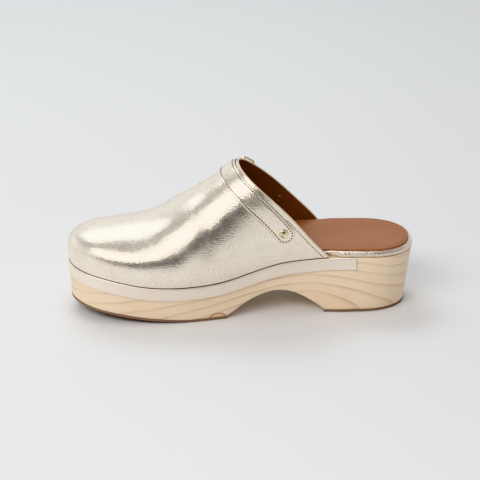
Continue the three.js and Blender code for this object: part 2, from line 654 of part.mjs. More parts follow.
const wasm = await Module();
wasm.setup();
function toManifold(geometry, matrix = new THREE.Matrix4()) {
  const plain = geometry.clone().applyMatrix4(matrix);
  plain.deleteAttribute("normal");
  plain.deleteAttribute("uv");
  const merged = mergeVertices(plain, 1e-4);
  return new wasm.Manifold(new wasm.Mesh({
    numProp: 3,
    vertProperties: new Float32Array(merged.attributes.position.array),
    triVerts: new Uint32Array(merged.index.array),
  }));
}
function fromManifold(body) {
  const { vertProperties, triVerts } = body.getMesh();
  const geometry = new THREE.BufferGeometry();
  geometry.setAttribute("position", new THREE.Float32BufferAttribute(vertProperties, 3));
  geometry.setIndex(new THREE.Uint32BufferAttribute(triVerts, 1));
  return geometry;
}
const holeTool = new THREE.CylinderGeometry(
  RIVET_POST_DIAMETER / 2 + CLEARANCE, RIVET_POST_DIAMETER / 2 + CLEARANCE, 24, 20);
const nearHole = toManifold(holeTool, nearRivetPlace);
const farHole = toManifold(holeTool, farRivetPlace);
const slotRuns = [heelBarRun - 2.3 * loopRadius, heelBarRun + loopRadius + 3.6];
const slotTool = toManifold(loft(slotRuns.map((run) => [
  [-PRONG_SLOT / 2, strapTop], [PRONG_SLOT / 2, strapTop],
  [PRONG_SLOT / 2, barLift + 4 * loopRadius], [-PRONG_SLOT / 2, barLift + 4 * loopRadius],
].map(([across, lift]) => place(run, across, lift)))));
const woodSole = fromManifold(toManifold(woodBlank).subtract(toManifold(rebateTool)));
const upper = fromManifold(toManifold(upperSolid()).subtract(nearHole).subtract(farHole));
const instepStrap = fromManifold(toManifold(strapBand).subtract(nearHole));
const buckleTab = fromManifold(toManifold(tabBand).subtract(farHole).subtract(slotTool));

const finish = (color, roughness, metalness) => new THREE.MeshStandardMaterial({ color, roughness, metalness });
const goldLeather = finish(0xcfc3a9, 0.34, 0.85);
const pine = finish(0xe3c79a, 0.6, 0);
const rubber = finish(0x6b4a35, 0.8, 0);
const tanLeather = finish(0xa8714f, 0.6, 0);
const brass = finish(0xd9c48f, 0.25, 1);

const shoe = new THREE.Group();
function add(name, geometry, material, matrix = new THREE.Matrix4()) {
  const mesh = new THREE.Mesh(geometry, material);
  mesh.name = name;
  matrix.decompose(mesh.position, mesh.quaternion, mesh.scale);
  shoe.add(mesh);
}
add("wood_sole", woodSole, pine);
add("outsole_forefoot", outsoleForefoot, rubber);
add("outsole_heel", outsoleHeel, rubber);
add("edge_strip", strip, goldLeather);
add("footbed", footbed, goldLeather);
add("insole", cover, tanLeather);
add("upper", upper, goldLeather);
add("instep_strap", instepStrap, goldLeather);
add("buckle_tab", buckleTab, goldLeather);
add("buckle_frame", buckleFrame, brass);
add("buckle_prong", buckleProng, brass);
add("rivet_medial", rivetGeometry(strapTop), brass, nearRivetPlace);
add("rivet_lateral", rivetGeometry(CLEARANCE + TAB_THICKNESS), brass, farRivetPlace);

// The finished shoe stands with the bottom centre of its box at the origin.
const box = new THREE.Box3().setFromObject(shoe);
const centre = box.getCenter(new THREE.Vector3());
shoe.position.set(-centre.x, -centre.y, -box.min.z);

export default shoe;
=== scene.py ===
import math

import bmesh
import bpy
import numpy as np
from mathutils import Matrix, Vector


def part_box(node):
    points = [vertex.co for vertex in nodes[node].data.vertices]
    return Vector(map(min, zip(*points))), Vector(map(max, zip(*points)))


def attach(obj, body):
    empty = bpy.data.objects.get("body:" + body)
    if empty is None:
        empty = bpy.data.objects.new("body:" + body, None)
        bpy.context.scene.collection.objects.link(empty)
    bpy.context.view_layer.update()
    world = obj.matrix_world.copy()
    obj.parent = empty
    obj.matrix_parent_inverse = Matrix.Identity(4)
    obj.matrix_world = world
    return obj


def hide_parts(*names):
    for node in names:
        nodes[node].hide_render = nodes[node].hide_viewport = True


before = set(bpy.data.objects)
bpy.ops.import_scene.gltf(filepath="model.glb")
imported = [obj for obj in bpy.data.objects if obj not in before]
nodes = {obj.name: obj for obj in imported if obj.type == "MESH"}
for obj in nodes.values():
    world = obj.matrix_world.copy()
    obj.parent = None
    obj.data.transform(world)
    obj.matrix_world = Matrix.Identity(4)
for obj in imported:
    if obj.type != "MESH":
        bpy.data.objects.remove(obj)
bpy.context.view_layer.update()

# Sizes of the clog, in millimetres, with the heel's back edge at x = 0
SOLE_LENGTH = 260.5
BALL_WIDTH = 94.4
HEEL_HEIGHT = 45.6
PLATFORM_HEIGHT = 29.0
HEEL_CAP = 38.0
TOE_CAP = 62.0
HEEL_BLOCK_LENGTH = 69.0
FOREFOOT_START = 143.0
SPRING_START = 172.0
TOE_SPRING = 11.0
ARCH_RISE = 17.2
WOOD_SET = 0.4
HEEL_LEAN = 5.0
HEEL_LEAN_REACH = 110.0
TOE_LEAN = 1.0
SIDE_LEAN = 1.8
HEEL_TUCK = 5.0
HEEL_TUCK_REACH = 55.0
RUBBER_THICKNESS = 2.0
CLEARANCE = 0.3
STRIP_HEIGHT = 10.0
STRIP_THICKNESS = 1.2
STRIP_END_X = 46.0
FOOTBED_THICKNESS = 4.6
FOOTBED_TUCK = 3.6
FOOTBED_TUCK_START = 55.0
FOOTBED_TUCK_END = 67.0
COVER_THICKNESS = 1.0
COVER_SET_IN = 2.9
COVER_TUCK = 1.6
WALL = 2.0
INSTEP_HEIGHT = 79.5
TOE_BOX_HEIGHT = 33.0
COLLAR_BASE_X = 66.0
CREST_X = 134.5
TOE_CENTRE_X = 203.0
WIDEST_HEIGHT = 9.0
BULGE = 0.3
TURN_UNDER = 0.5
COLLAR_WAVE = 0.8
STRAP_WIDTH = 14.2
STRAP_THICKNESS = 1.4
STRAP_CREST_GAP = 1.8
STRAP_NEAR_GAP = 7.2
STRAP_FAR_GAP = 2.0
STRAP_NEAR_LENGTH = 89.0
STRAP_FAR_LENGTH = 55.0
TAB_THICKNESS = 1.0
TAB_END = 83.3
BUCKLE_START = 24.0
BUCKLE_LENGTH = 16.0
BUCKLE_WIDTH = 20.6
BAR_DIAMETER = 1.8
PRONG_DIAMETER = 1.4
PRONG_SLOT = 2.8
SNUG = 0.25
FRAME_CORNER = 2.4
LOOP_SETTLE = 7.0
STRAP_END_STEP = 5.0
RIVET_INSET = 8.8
RIVET_HEAD_DIAMETER = 7.0
WASHER_DIAMETER = 6.0

TOE_ROUND = 2.4
HEEL_ROUND = 2.3
HEEL_SQUARE = 2.2
SPRING_CURVE = 1.3


def mix(a, b, share):
    return a + (b - a) * share


def ease(share):
    return share * share * (3 - 2 * share)


def spline(rows):
    """Natural cubic spline through rows of share and value."""
    at = np.array([row[0] for row in rows])
    value = np.array([row[1] for row in rows])
    count = len(at)
    bend = np.zeros(count)
    work = np.zeros(count)
    for i in range(1, count - 1):
        before = at[i] - at[i - 1]
        after = at[i + 1] - at[i]
        ratio = before / (before + after)
        p = ratio * bend[i - 1] + 2
        bend[i] = (ratio - 1) / p
        rise = (value[i + 1] - value[i]) / after - (value[i] - value[i - 1]) / before
        work[i] = (6 * rise / (before + after) - ratio * work[i - 1]) / p
    for i in range(count - 2, -1, -1):
        bend[i] = bend[i] * bend[i + 1] + work[i]

    def curve(share):
        share = np.asarray(share, float)
        i = np.clip(np.searchsorted(at, share) - 1, 0, count - 2)
        gap = at[i + 1] - at[i]
        a = (at[i + 1] - share) / gap
        b = (share - at[i]) / gap
        arch = ((a**3 - a) * bend[i] + (b**3 - b) * bend[i + 1]) * gap * gap
        return a * value[i] + b * value[i + 1] + arch / 6

    return curve


# Plan of the sole: share of its length, centre line and half width as shares of the ball width
PLAN = [
    (0.0, 0.034, 0.373), (0.08, 0.03, 0.371), (0.17, 0.017, 0.364), (0.27, -0.01, 0.367),
    (0.37, -0.025, 0.384), (0.47, -0.03, 0.422), (0.57, -0.019, 0.468), (0.67, -0.002, 0.5),
    (0.76, 0.017, 0.492), (0.85, 0.038, 0.462), (0.93, 0.055, 0.451), (1.0, 0.059, 0.449),
]
centre_share = spline([(row[0], row[1]) for row in PLAN])
half_share = spline([(row[0], row[2]) for row in PLAN])
top_share = spline([
    (0, 1), (0.1, 1), (0.18, 0.994), (0.25, 0.964), (0.33, 0.867), (0.38, 0.789), (0.44, 0.578),
    (0.5, 0.319), (0.55, 0.133), (0.6, 0.036), (0.68, 0), (0.76, 0.054), (0.84, 0.229),
    (0.91, 0.422), (1, 0.602),
])
arch_share = spline([
    (0, 0), (0.12, 0.4), (0.25, 0.74), (0.36, 0.93), (0.47, 1), (0.58, 0.95), (0.7, 0.77),
    (0.82, 0.51), (0.92, 0.22), (1, 0),
])


def centre_line(x):
    return BALL_WIDTH * centre_share(np.clip(x / SOLE_LENGTH, 0, 1))


def half_width(x):
    return BALL_WIDTH * half_share(np.clip(x / SOLE_LENGTH, 0, 1))


def end_rounding(toe, heel):
    toe_end = np.maximum(1 - toe**TOE_ROUND, 0) ** 0.5
    return toe_end * np.maximum(1 - heel**HEEL_ROUND, 0) ** (1 / HEEL_SQUARE)


def outline(x, side, grow):
    """Where the sole's edge line lies across the shoe, grown outwards by a distance."""
    toe = np.clip((x - (SOLE_LENGTH - TOE_CAP)) / (TOE_CAP + grow), 0, 1)
    heel = np.clip((HEEL_CAP - x) / (HEEL_CAP + grow), 0, 1)
    return centre_line(x) + side * (half_width(x) + grow) * end_rounding(toe, heel)


def side_fade(station):
    toe = np.clip((station - (SOLE_LENGTH - TOE_CAP)) / TOE_CAP, 0, 1)
    heel = np.clip((HEEL_CAP - station) / HEEL_CAP, 0, 1)
    return end_rounding(toe, heel)


def wood_top(x):
    return mix(PLATFORM_HEIGHT, HEEL_HEIGHT, top_share(np.clip(x / SOLE_LENGTH, 0, 1)))


def floor_line(x):
    share = np.clip((x - SPRING_START) / (SOLE_LENGTH - SPRING_START), 0, 1)
    return TOE_SPRING * share**SPRING_CURVE


def wood_bottom(x):
    share = np.clip((x - HEEL_BLOCK_LENGTH) / (FOREFOOT_START - HEEL_BLOCK_LENGTH), 0, 1)
    return floor_line(x) + RUBBER_THICKNESS + CLEARANCE + ARCH_RISE * arch_share(share)


def wood_side(station, side, depth):
    """The wood's side at a station: depth is 0 at its top and 1 at its underside."""
    lean = HEEL_LEAN * np.clip(1 - station / HEEL_LEAN_REACH, 0, 1) * depth
    share = station / SOLE_LENGTH
    x = mix(WOOD_SET, SOLE_LENGTH - WOOD_SET - TOE_LEAN * depth, share) + lean
    tuck = SIDE_LEAN + HEEL_TUCK * np.clip(1 - station / HEEL_TUCK_REACH, 0, 1)
    set_back = (WOOD_SET + tuck * depth) * side_fade(station)
    return x, outline(station, side, 0) - side * set_back


def station_at(x):
    stations = np.linspace(0, SOLE_LENGTH, 4001)
    return float(np.interp(x, wood_side(stations, 1, 1)[0], stations))


# The upper's form: share of the length, ridge, roundness of the sides and crown, ridge shift
SECTIONS = [
    (0.25, 1.785, 2.3, 1.9, 0.095), (0.38, 1.419, 2.3, 1.9, 0.1), (0.51, 0.978, 2.2, 1.9, 0.095),
    (0.6, 0.72, 2.2, 1.9, 0.074), (0.69, 0.425, 2.1, 2.0, 0.053), (0.77, 0.172, 2.05, 2.1, 0.037),
    (0.84, 0.06, 2.0, 2.2, 0.026), (0.92, 0.005, 2.0, 2.5, 0.016), (1.0, 0.0, 2.0, 2.8, 0.011),
]
ridge_share, side_round, crown_round, ridge_shift = [
    spline([(row[0], row[k]) for row in SECTIONS]) for k in (1, 2, 3, 4)
]


def form(x, y, height, inset):
    """Below 1 inside the upper's form, at a height above the wood's top."""
    share = np.clip(x / SOLE_LENGTH, SECTIONS[0][0], 1)
    low = np.clip(1 - height / WIDEST_HEIGHT, 0, 1)
    grow = BULGE - (BULGE + TURN_UNDER) * low * low - inset
    ridge = mix(TOE_BOX_HEIGHT, INSTEP_HEIGHT, ridge_share(share)) - inset
    rise = np.maximum(height - WIDEST_HEIGHT, 0) / (ridge - WIDEST_HEIGHT)
    shift = BALL_WIDTH * ridge_shift(share) * np.clip(height / ridge, 0, 1.2) ** 1.5
    across = np.abs(y - centre_line(x) - shift) / (half_width(x) + grow)
    ahead = np.maximum(x - (SOLE_LENGTH - TOE_CAP), 0) / (TOE_CAP + grow)
    return across ** side_round(share) + rise ** crown_round(share) + ahead**TOE_ROUND


def reach_out(origin, direction, inset):
    """Points where rays from inside the form meet its surface."""
    low = np.zeros(direction.shape[:-1])
    high = np.full(direction.shape[:-1], 170.0)
    for _ in range(36):
        middle = (low + high) / 2
        point = origin + direction * middle[..., None]
        within = form(point[..., 0], point[..., 1], np.maximum(point[..., 2], 0), inset) < 1
        low = np.where(within, middle, low)
        high = np.where(within, high, middle)
    point = origin + direction * ((low + high) / 2)[..., None]
    point[..., 2] += wood_top(point[..., 0]) + CLEARANCE
    return point


COLLAR_LEAN = math.atan2(INSTEP_HEIGHT, CREST_X - COLLAR_BASE_X)


def ring_points(along, degrees, inset=0.0):
    """Rings from the collar (0) to the toe's centre (1), over the ridge from the medial edge."""
    along, degrees = np.broadcast_arrays(np.asarray(along, float), np.asarray(degrees, float))
    angle = np.radians(degrees)
    wave = COLLAR_WAVE * (np.sin(4 * angle) - (1 - np.cos(angle)) / 2)
    x = mix(COLLAR_BASE_X, TOE_CENTRE_X, along) + wave * (1 - along) ** 2
    lean = mix(math.pi / 2, COLLAR_LEAN, np.maximum(1 - along, 0) ** 1.5)
    direction = np.stack([
        np.sin(angle) * np.cos(lean), np.cos(angle), np.sin(angle) * np.sin(lean)], -1)
    origin = np.stack([x, centre_line(x), np.zeros_like(x)], -1)
    return reach_out(origin, direction, inset)


def fan_points(bearing, degrees, inset=0.0):
    """Rays round the toe: the bearing runs from 90 (medial) through 0 (tip) to -90 degrees."""
    turn, angle = np.broadcast_arrays(np.radians(bearing), np.radians(degrees))
    direction = np.stack([
        np.cos(angle) * np.cos(turn), np.cos(angle) * np.sin(turn), np.sin(angle)], -1)
    origin = np.array([TOE_CENTRE_X, float(centre_line(TOE_CENTRE_X)), 0.0])
    return reach_out(origin, direction, inset)


def level(points):
    x, y, z = points[..., 0], points[..., 1], points[..., 2]
    return form(x, y, np.maximum(z - CLEARANCE - wood_top(x), 0), 0)


def unit(vectors):
    return vectors / np.linalg.norm(vectors, axis=-1, keepdims=True)


def outward(points):
    """Directions straight out of the upper's leather."""
    small = 0.05
    slopes = []
    for k in range(3):
        step = np.zeros(3)
        step[k] = small
        slopes.append(level(points + step) - level(points - step))
    return unit(np.stack(slopes, -1))


def settle(points, direction):
    """Slides points along directions until they lie on the leather."""
    low = np.full(points.shape[:-1], -14.0)
    high = np.full(points.shape[:-1], 14.0)
    for _ in range(30):
        at = (low + high) / 2
        within = level(points + direction * at[..., None]) < 1
        low = np.where(within, at, low)
        high = np.where(within, high, at)
    return points + direction * ((low + high) / 2)[..., None]


def towards_toe(ahead, out):
    across = unit(np.cross(ahead, out))
    return np.where(across[..., :1] < 0, -across, across)


def beside_collar(degrees, distance):
    """Points on the leather at a distance from the collar's edge."""
    edge = ring_points(0, degrees)
    ahead = ring_points(0, degrees + 0.5) - edge
    out = outward(edge)
    step = towards_toe(ahead, out) * np.broadcast_to(distance, degrees.shape)[..., None]
    return settle(edge + step, out)


# The strap's middle line, as a table of points by their run from the crest
line_degrees = np.linspace(6, 174, 337)
line_end_gap = np.where(line_degrees < 90, STRAP_NEAR_GAP, STRAP_FAR_GAP)
line_gap = mix(STRAP_CREST_GAP, line_end_gap, np.cos(np.radians(line_degrees)) ** 2)
line_points = beside_collar(line_degrees, line_gap + STRAP_WIDTH / 2)
line_runs = np.concatenate([[0], np.cumsum(np.linalg.norm(np.diff(line_points, axis=0), axis=1))])
line_runs -= line_runs[168]


def strap_frame(run):
    def at(runs):
        return np.stack([np.interp(runs, line_runs, line_points[:, k]) for k in range(3)], -1)

    point = at(run)
    out = outward(point)
    return point, out, towards_toe(unit(at(run + 1.0) - at(run - 1.0)), out)


def strap_place(run, across, lift):
    """Places by their run along the strap, distance towards the toe and lift off the leather."""
    run, across, lift = np.broadcast_arrays(run * 1.0, across, lift)
    point, out, side = strap_frame(run)
    foot = settle(point + side * across[..., None], out)
    return foot + outward(foot) * lift[..., None]


# Millimetres of the part's own frame to the scene's metres
heel_corner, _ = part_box("footbed")
strip_corner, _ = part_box("edge_strip")
edge_x = np.linspace(STRIP_END_X, SOLE_LENGTH, 4001)
ORIGIN = np.array([
    -heel_corner.x * 1000, float(outline(edge_x, -1, 0).min()) - strip_corner.y * 1000, 0.0])


def to_scene(points):
    return (np.asarray(points, float) - ORIGIN) / 1000


def finish_mesh(name, mesh, material, sharp=None):
    for polygon in mesh.polygons:
        polygon.use_smooth = True
    if sharp:
        mesh.set_sharp_from_angle(angle=math.radians(sharp))
    mesh.materials.clear()
    mesh.materials.append(material)
    piece = bpy.data.objects.new(name, mesh)
    bpy.context.collection.objects.link(piece)
    return piece


def piece_from(name, points, faces, material, sharp=None):
    """A closed piece from points in millimetres, merged and turned the right way out."""
    mesh = bpy.data.meshes.new(name)
    mesh.from_pydata(to_scene(points).tolist(), [], faces)
    shell = bmesh.new()
    shell.from_mesh(mesh)
    bmesh.ops.remove_doubles(shell, verts=shell.verts, dist=2e-6)
    bmesh.ops.dissolve_degenerate(shell, edges=shell.edges, dist=1e-7)
    bmesh.ops.recalc_face_normals(shell, faces=shell.faces)
    shell.to_mesh(mesh)
    shell.free()
    return finish_mesh(name, mesh, material, sharp)


def grid_faces(rows, columns, first=0, wrap_rows=False, wrap_columns=False):
    """Quads between neighbouring rows of a grid of points."""
    faces = []
    for i in range(rows if wrap_rows else rows - 1):
        for j in range(columns if wrap_columns else columns - 1):
            a = first + i * columns + j
            b = first + i * columns + (j + 1) % columns
            c = first + (i + 1) % rows * columns + (j + 1) % columns
            d = first + (i + 1) % rows * columns + j
            faces.append((a, b, c, d))
    return faces


def loft(name, sections, material, sharp=None, closed=False):
    """A solid through closed sections, an array of section, point and coordinate."""
    rows, columns, _ = sections.shape
    faces = grid_faces(rows, columns, wrap_rows=closed, wrap_columns=True)
    if not closed:
        faces.append(tuple(range(columns)))
        faces.append(tuple(range((rows - 1) * columns, rows * columns)))
    return piece_from(name, sections.reshape(-1, 3), faces, material, sharp)


def plate_sections(stations, rows):
    """Sections whose near and far sides follow the plan; a row is a function of both."""
    near = [np.stack(row(stations, 1), -1) for row in rows]
    far = [np.stack(row(stations, -1), -1) for row in rows]
    return np.stack(near + far[::-1], 1)


def plate(name, stations, rows, material, sharp=None):
    """As a loft, with its end faces closed by strips from side to side."""
    sections = plate_sections(stations, rows)
    count, columns, _ = sections.shape
    faces = grid_faces(count, columns, wrap_columns=True)
    for first in (0, (count - 1) * columns):
        for i in range(columns // 2 - 1):
            faces.append((first + i, first + i + 1, first + columns - 2 - i, first + columns - 1 - i))
    return piece_from(name, sections.reshape(-1, 3), faces, material, sharp)


def stations_between(start, end, step=1.5, extra=()):
    heel = HEEL_CAP * (1 - np.cos(np.linspace(0, math.pi / 2, 30)))
    middle = np.arange(HEEL_CAP, SOLE_LENGTH - TOE_CAP, step)
    toe = SOLE_LENGTH - TOE_CAP + TOE_CAP * np.sin(np.linspace(0, math.pi / 2, 40))
    fixed = np.array([start, end, *extra])
    free = np.concatenate([heel, middle[1:], toe])
    free = free[(free > start) & (free < end)]
    free = free[np.abs(free[:, None] - fixed).min(1) > 0.4]
    return np.sort(np.concatenate([free, fixed]))


# Node materials
class Shader:
    """A new material with helpers that add and join its nodes."""

    def __init__(self, name):
        self.material = bpy.data.materials.new(name)
        self.material.use_nodes = True
        self.tree = self.material.node_tree
        self.surface = self.tree.nodes["Principled BSDF"]
        self.place = self.tree.nodes.new("ShaderNodeTexCoord").outputs["Object"]

    def link(self, value, socket):
        if isinstance(value, bpy.types.NodeSocket):
            self.tree.links.new(value, socket)
        else:
            socket.default_value = value

    def set(self, **values):
        for label, value in values.items():
            self.link(value, self.surface.inputs[label.replace("_", " ")])

    def mapped(self, scale=(1, 1, 1), location=(0, 0, 0), rotation=(0, 0, 0), vector=None):
        node = self.tree.nodes.new("ShaderNodeMapping")
        self.link(vector or self.place, node.inputs["Vector"])
        node.inputs["Scale"].default_value = scale
        node.inputs["Location"].default_value = location
        node.inputs["Rotation"].default_value = rotation
        return node.outputs["Vector"]

    def noise(self, scale, detail=2.0, roughness=0.5, distortion=0.0, vector=None, color=False):
        node = self.tree.nodes.new("ShaderNodeTexNoise")
        self.link(vector or self.place, node.inputs["Vector"])
        node.inputs["Scale"].default_value = scale
        node.inputs["Detail"].default_value = detail
        node.inputs["Roughness"].default_value = roughness
        node.inputs["Distortion"].default_value = distortion
        return node.outputs["Color" if color else "Fac"]

    def cells(self, scale, feature="DISTANCE_TO_EDGE", vector=None, randomness=1.0):
        node = self.tree.nodes.new("ShaderNodeTexVoronoi")
        node.feature = feature
        self.link(vector or self.place, node.inputs["Vector"])
        node.inputs["Scale"].default_value = scale
        node.inputs["Randomness"].default_value = randomness
        return node.outputs["Distance"]

    def math(self, operation, a, b=0.0, c=0.0):
        node = self.tree.nodes.new("ShaderNodeMath")
        node.operation = operation
        for value, socket in zip((a, b, c), node.inputs):
            self.link(value, socket)
        return node.outputs[0]

    def spread(self, value, low, high, to_low=0.0, to_high=1.0):
        node = self.tree.nodes.new("ShaderNodeMapRange")
        for label, number in zip(
                ("Value", "From Min", "From Max", "To Min", "To Max"),
                (value, low, high, to_low, to_high)):
            self.link(number, node.inputs[label])
        return node.outputs["Result"]

    def blend(self, share, a, b, kind="MIX"):
        node = self.tree.nodes.new("ShaderNodeMix")
        node.data_type = "RGBA"
        node.blend_type = kind
        self.link(share, node.inputs[0])
        self.link(a if isinstance(a, bpy.types.NodeSocket) else (*a, 1), node.inputs[6])
        self.link(b if isinstance(b, bpy.types.NodeSocket) else (*b, 1), node.inputs[7])
        return node.outputs[2]

    def shift(self, vector, amount):
        node = self.tree.nodes.new("ShaderNodeVectorMath")
        node.operation = "ADD"
        self.link(vector, node.inputs[0])
        self.link(amount, node.inputs[1])
        return node.outputs[0]

    def scaled(self, vector, amount):
        node = self.tree.nodes.new("ShaderNodeVectorMath")
        node.operation = "SCALE"
        self.link(vector, node.inputs[0])
        node.inputs["Scale"].default_value = amount
        return node.outputs[0]

    def parts(self, vector=None):
        node = self.tree.nodes.new("ShaderNodeSeparateXYZ")
        self.link(vector or self.place, node.inputs[0])
        return node.outputs

    def bump(self, height, strength, distance, normal=None):
        node = self.tree.nodes.new("ShaderNodeBump")
        node.inputs["Strength"].default_value = strength
        node.inputs["Distance"].default_value = distance
        self.link(height, node.inputs["Height"])
        if normal:
            self.link(normal, node.inputs["Normal"])
        return node.outputs["Normal"]


def foil_leather(name, light, dark, rough, grain_size=0.0011, grain_depth=0.00014, crease_shade_share=0.22):
    """Pale gold foil over fine pebbled leather, with painted shade browning the grain's creases."""
    s = Shader(name)
    wander = s.scaled(s.noise(1 / (grain_size * 4), 2, color=True), grain_size * 0.8)
    bent = s.shift(s.place, wander)
    pebbles = s.spread(s.cells(1 / grain_size, "F1", vector=bent), 0.1, 0.75, 1.0, 0.0)
    uneven = s.noise(1 / (grain_size * 1.3), 2, 0.6)
    fine = s.noise(1 / (grain_size * 0.35), 2, 0.55)
    height = s.math("ADD", s.math("MULTIPLY", pebbles, 0.55), s.math("MULTIPLY", uneven, 0.9))
    height = s.math("ADD", height, s.math("MULTIPLY", fine, 0.22))
    firm = s.spread(s.noise(17, 2, 0.5), 0.35, 0.65, 0.75, 1.0)
    waves = s.bump(s.noise(20, 1, 0.4), 0.5, 0.005)
    normal = s.bump(s.math("MULTIPLY", height, firm), 0.75, grain_depth, waves)
    tone = s.blend(s.spread(s.noise(55, 3, 0.55), 0.35, 0.7), light, dark)
    # Painted shade: the base colour turns browner in the hollows between the grain's pebbles
    crease_shade = s.spread(s.math("ADD", pebbles, uneven), 0.5, 1.0, crease_shade_share, 0.0)
    tone = s.blend(crease_shade, tone, tuple(level * share for level, share in zip(dark, (0.62, 0.55, 0.46))))
    roughness = s.spread(s.noise(90, 3, 0.6), 0.3, 0.7, rough - 0.04, rough + 0.06)
    s.set(Base_Color=tone, Metallic=0.94, Roughness=roughness, Normal=normal)
    return s.material


gold_leather = foil_leather("gold_foil_leather", (0.98, 0.91, 0.79), (0.94, 0.855, 0.735), 0.24)
rim_leather = foil_leather("rim_foil_leather", (0.96, 0.85, 0.74), (0.83, 0.72, 0.60), 0.28, 0.0012, 0.00018, 0.45)
strip_leather = foil_leather("strip_foil_leather", (0.99, 0.89, 0.78), (0.97, 0.86, 0.75), 0.42, 0.0009, 0.00003, 0.06)


def pine_wood():
    """Lacquered pine: growth rings round a pith low on the medial side, and one small knot."""
    s = Shader("lacquered_pine")
    wander = s.scaled(s.noise(9, 2, 0.5, color=True), 0.007)
    fine_wander = s.scaled(s.noise(55, 2, 0.5, color=True), 0.0009)
    bent = s.shift(s.shift(s.place, wander), fine_wander)
    along, across, up = s.parts(bent)
    rise = s.spread(along, -0.05, 0.03, 0.012, 0.0)
    sheer = s.math("SUBTRACT", up, rise)
    place = s.tree.nodes.new("ShaderNodeCombineXYZ")
    for value, socket in zip((along, across, sheer), place.inputs):
        s.link(value, socket)
    rings_from = s.mapped(
        scale=(0.24, 0.6, 1.0), location=(0.001, -0.018, 0.007), vector=place.outputs[0])
    length = s.tree.nodes.new("ShaderNodeVectorMath")
    length.operation = "LENGTH"
    s.link(rings_from, length.inputs[0])
    turns = s.math("MULTIPLY", length.outputs["Value"], 1 / 0.0064)
    share = s.math("FRACT", turns)
    late = s.math("POWER", share, 7.0)
    early = s.spread(share, 0.0, 0.07, 1.0, 0.0)
    varied = s.spread(s.noise(40, 2), 0.3, 0.7, 0.4, 1.0)
    line = s.math("MULTIPLY", s.math("MAXIMUM", late, early), varied)
    fibres = s.noise(1.0, 4, 0.65, vector=s.mapped(scale=(90, 1400, 1400), vector=bent))
    pale = s.blend(s.spread(s.noise(14, 2), 0.3, 0.7), (0.95, 0.78, 0.59), (0.91, 0.71, 0.50))
    tone = s.blend(s.math("MULTIPLY", line, 0.85), pale, (0.64, 0.42, 0.25))
    tone = s.blend(s.spread(fibres, 0.45, 0.78, 0.0, 0.18), tone, (0.68, 0.47, 0.28))
    from_knot = s.tree.nodes.new("ShaderNodeVectorMath")
    from_knot.operation = "LENGTH"
    knot_at = s.mapped(scale=(1.0, 0.2, 1.3), location=(-0.0195, -0.008, -0.001))
    s.link(knot_at, from_knot.inputs[0])
    knot_reach = from_knot.outputs["Value"]
    inside = s.spread(knot_reach, 0.0066, 0.0072, 1.0, 0.0)
    ring = s.math("MULTIPLY", inside, s.spread(knot_reach, 0.0056, 0.0063))
    tone = s.blend(s.math("MULTIPLY", inside, 0.5), tone, (0.72, 0.40, 0.20))
    tone = s.blend(s.math("MULTIPLY", ring, 0.8), tone, (0.25, 0.07, 0.03))
    normal = s.bump(s.math("ADD", fibres, s.math("MULTIPLY", line, -0.6)), 0.25, 0.00015)
    rough = s.spread(fibres, 0.3, 0.7, 0.42, 0.6)
    s.set(Base_Color=tone, Roughness=rough, Normal=normal, Coat_Weight=0.12, Coat_Roughness=0.35)
    return s.material


def plain_leather(name, light, dark, rough, grain_size, depth):
    s = Shader(name)
    pores = s.cells(1 / grain_size, "F1")
    fine = s.noise(1 / (grain_size * 0.5), 3, 0.6)
    height = s.math("ADD", s.spread(pores, 0.0, 0.6), s.math("MULTIPLY", fine, 0.5))
    cloud = s.noise(22, 3, 0.6)
    tone = s.blend(s.spread(cloud, 0.3, 0.7), light, dark)
    tone = s.blend(s.spread(s.noise(160, 3, 0.6), 0.45, 0.75, 0.0, 0.2), tone, dark)
    normal = s.bump(height, 0.4, depth)
    roughness = s.spread(s.noise(70, 3), 0.3, 0.7, rough - 0.07, rough + 0.07)
    s.set(Base_Color=tone, Roughness=roughness, Normal=normal)
    s.set(Specular_IOR_Level=0.4)
    return s.material


tan_leather = plain_leather("tan_leather", (0.43, 0.19, 0.095), (0.37, 0.155, 0.075), 0.58, 0.0009, 0.00008)
lining_leather = plain_leather("dark_lining", (0.19, 0.065, 0.032), (0.13, 0.045, 0.022), 0.6, 0.0008, 0.0001)
edge_paint = plain_leather("painted_leather_edge", (0.82, 0.66, 0.50), (0.68, 0.50, 0.36), 0.5, 0.0006, 0.00008)
# Near-black brown for the painted shadow in the gap at the upper's foot
gap_shadow_paint = plain_leather("painted_gap_shadow", (0.17, 0.09, 0.05), (0.10, 0.05, 0.03), 0.6, 0.0006, 0.00008)
# Brown of the bands' cut edges, darkened to stand in for their contact shadow
edge_and_shadow_paint = plain_leather(
    "strap_edge_and_shadow", (0.38, 0.27, 0.18), (0.28, 0.18, 0.11), 0.6, 0.0006, 0.00008)


def moulded_rubber():
    s = Shader("brown_rubber")
    speck = s.noise(900, 3, 0.7)
    cloud = s.noise(40, 3, 0.6)
    tone = s.blend(s.spread(cloud, 0.3, 0.7), (0.28, 0.175, 0.12), (0.22, 0.13, 0.088))
    normal = s.bump(speck, 0.35, 0.00012)
    s.set(Base_Color=tone, Roughness=s.spread(speck, 0.3, 0.7, 0.62, 0.8), Normal=normal)
    return s.material


def polished_brass(name, light, dark, rough):
    s = Shader(name)
    hairlines = s.noise(1.0, 3, 0.6, vector=s.mapped(scale=(2500, 600, 900)))
    cloud = s.noise(260, 3, 0.6)
    tone = s.blend(s.spread(cloud, 0.4, 0.75), light, dark)
    normal = s.bump(hairlines, 0.12, 0.00003)
    roughness = s.spread(hairlines, 0.3, 0.7, rough - 0.03, rough + 0.06)
    s.set(Base_Color=tone, Metallic=1.0, Roughness=roughness, Normal=normal)
    return s.material


def sewing_thread(name, light, dark):
    s = Shader(name)
    twist = s.noise(1.0, 2, 0.5, vector=s.mapped(scale=(3500, 3500, 3500)))
    tone = s.blend(s.spread(twist, 0.3, 0.7), light, dark)
    s.set(Base_Color=tone, Roughness=0.55, Normal=s.bump(twist, 0.4, 0.0001))
    s.set(Sheen_Weight=0.2)
    return s.material


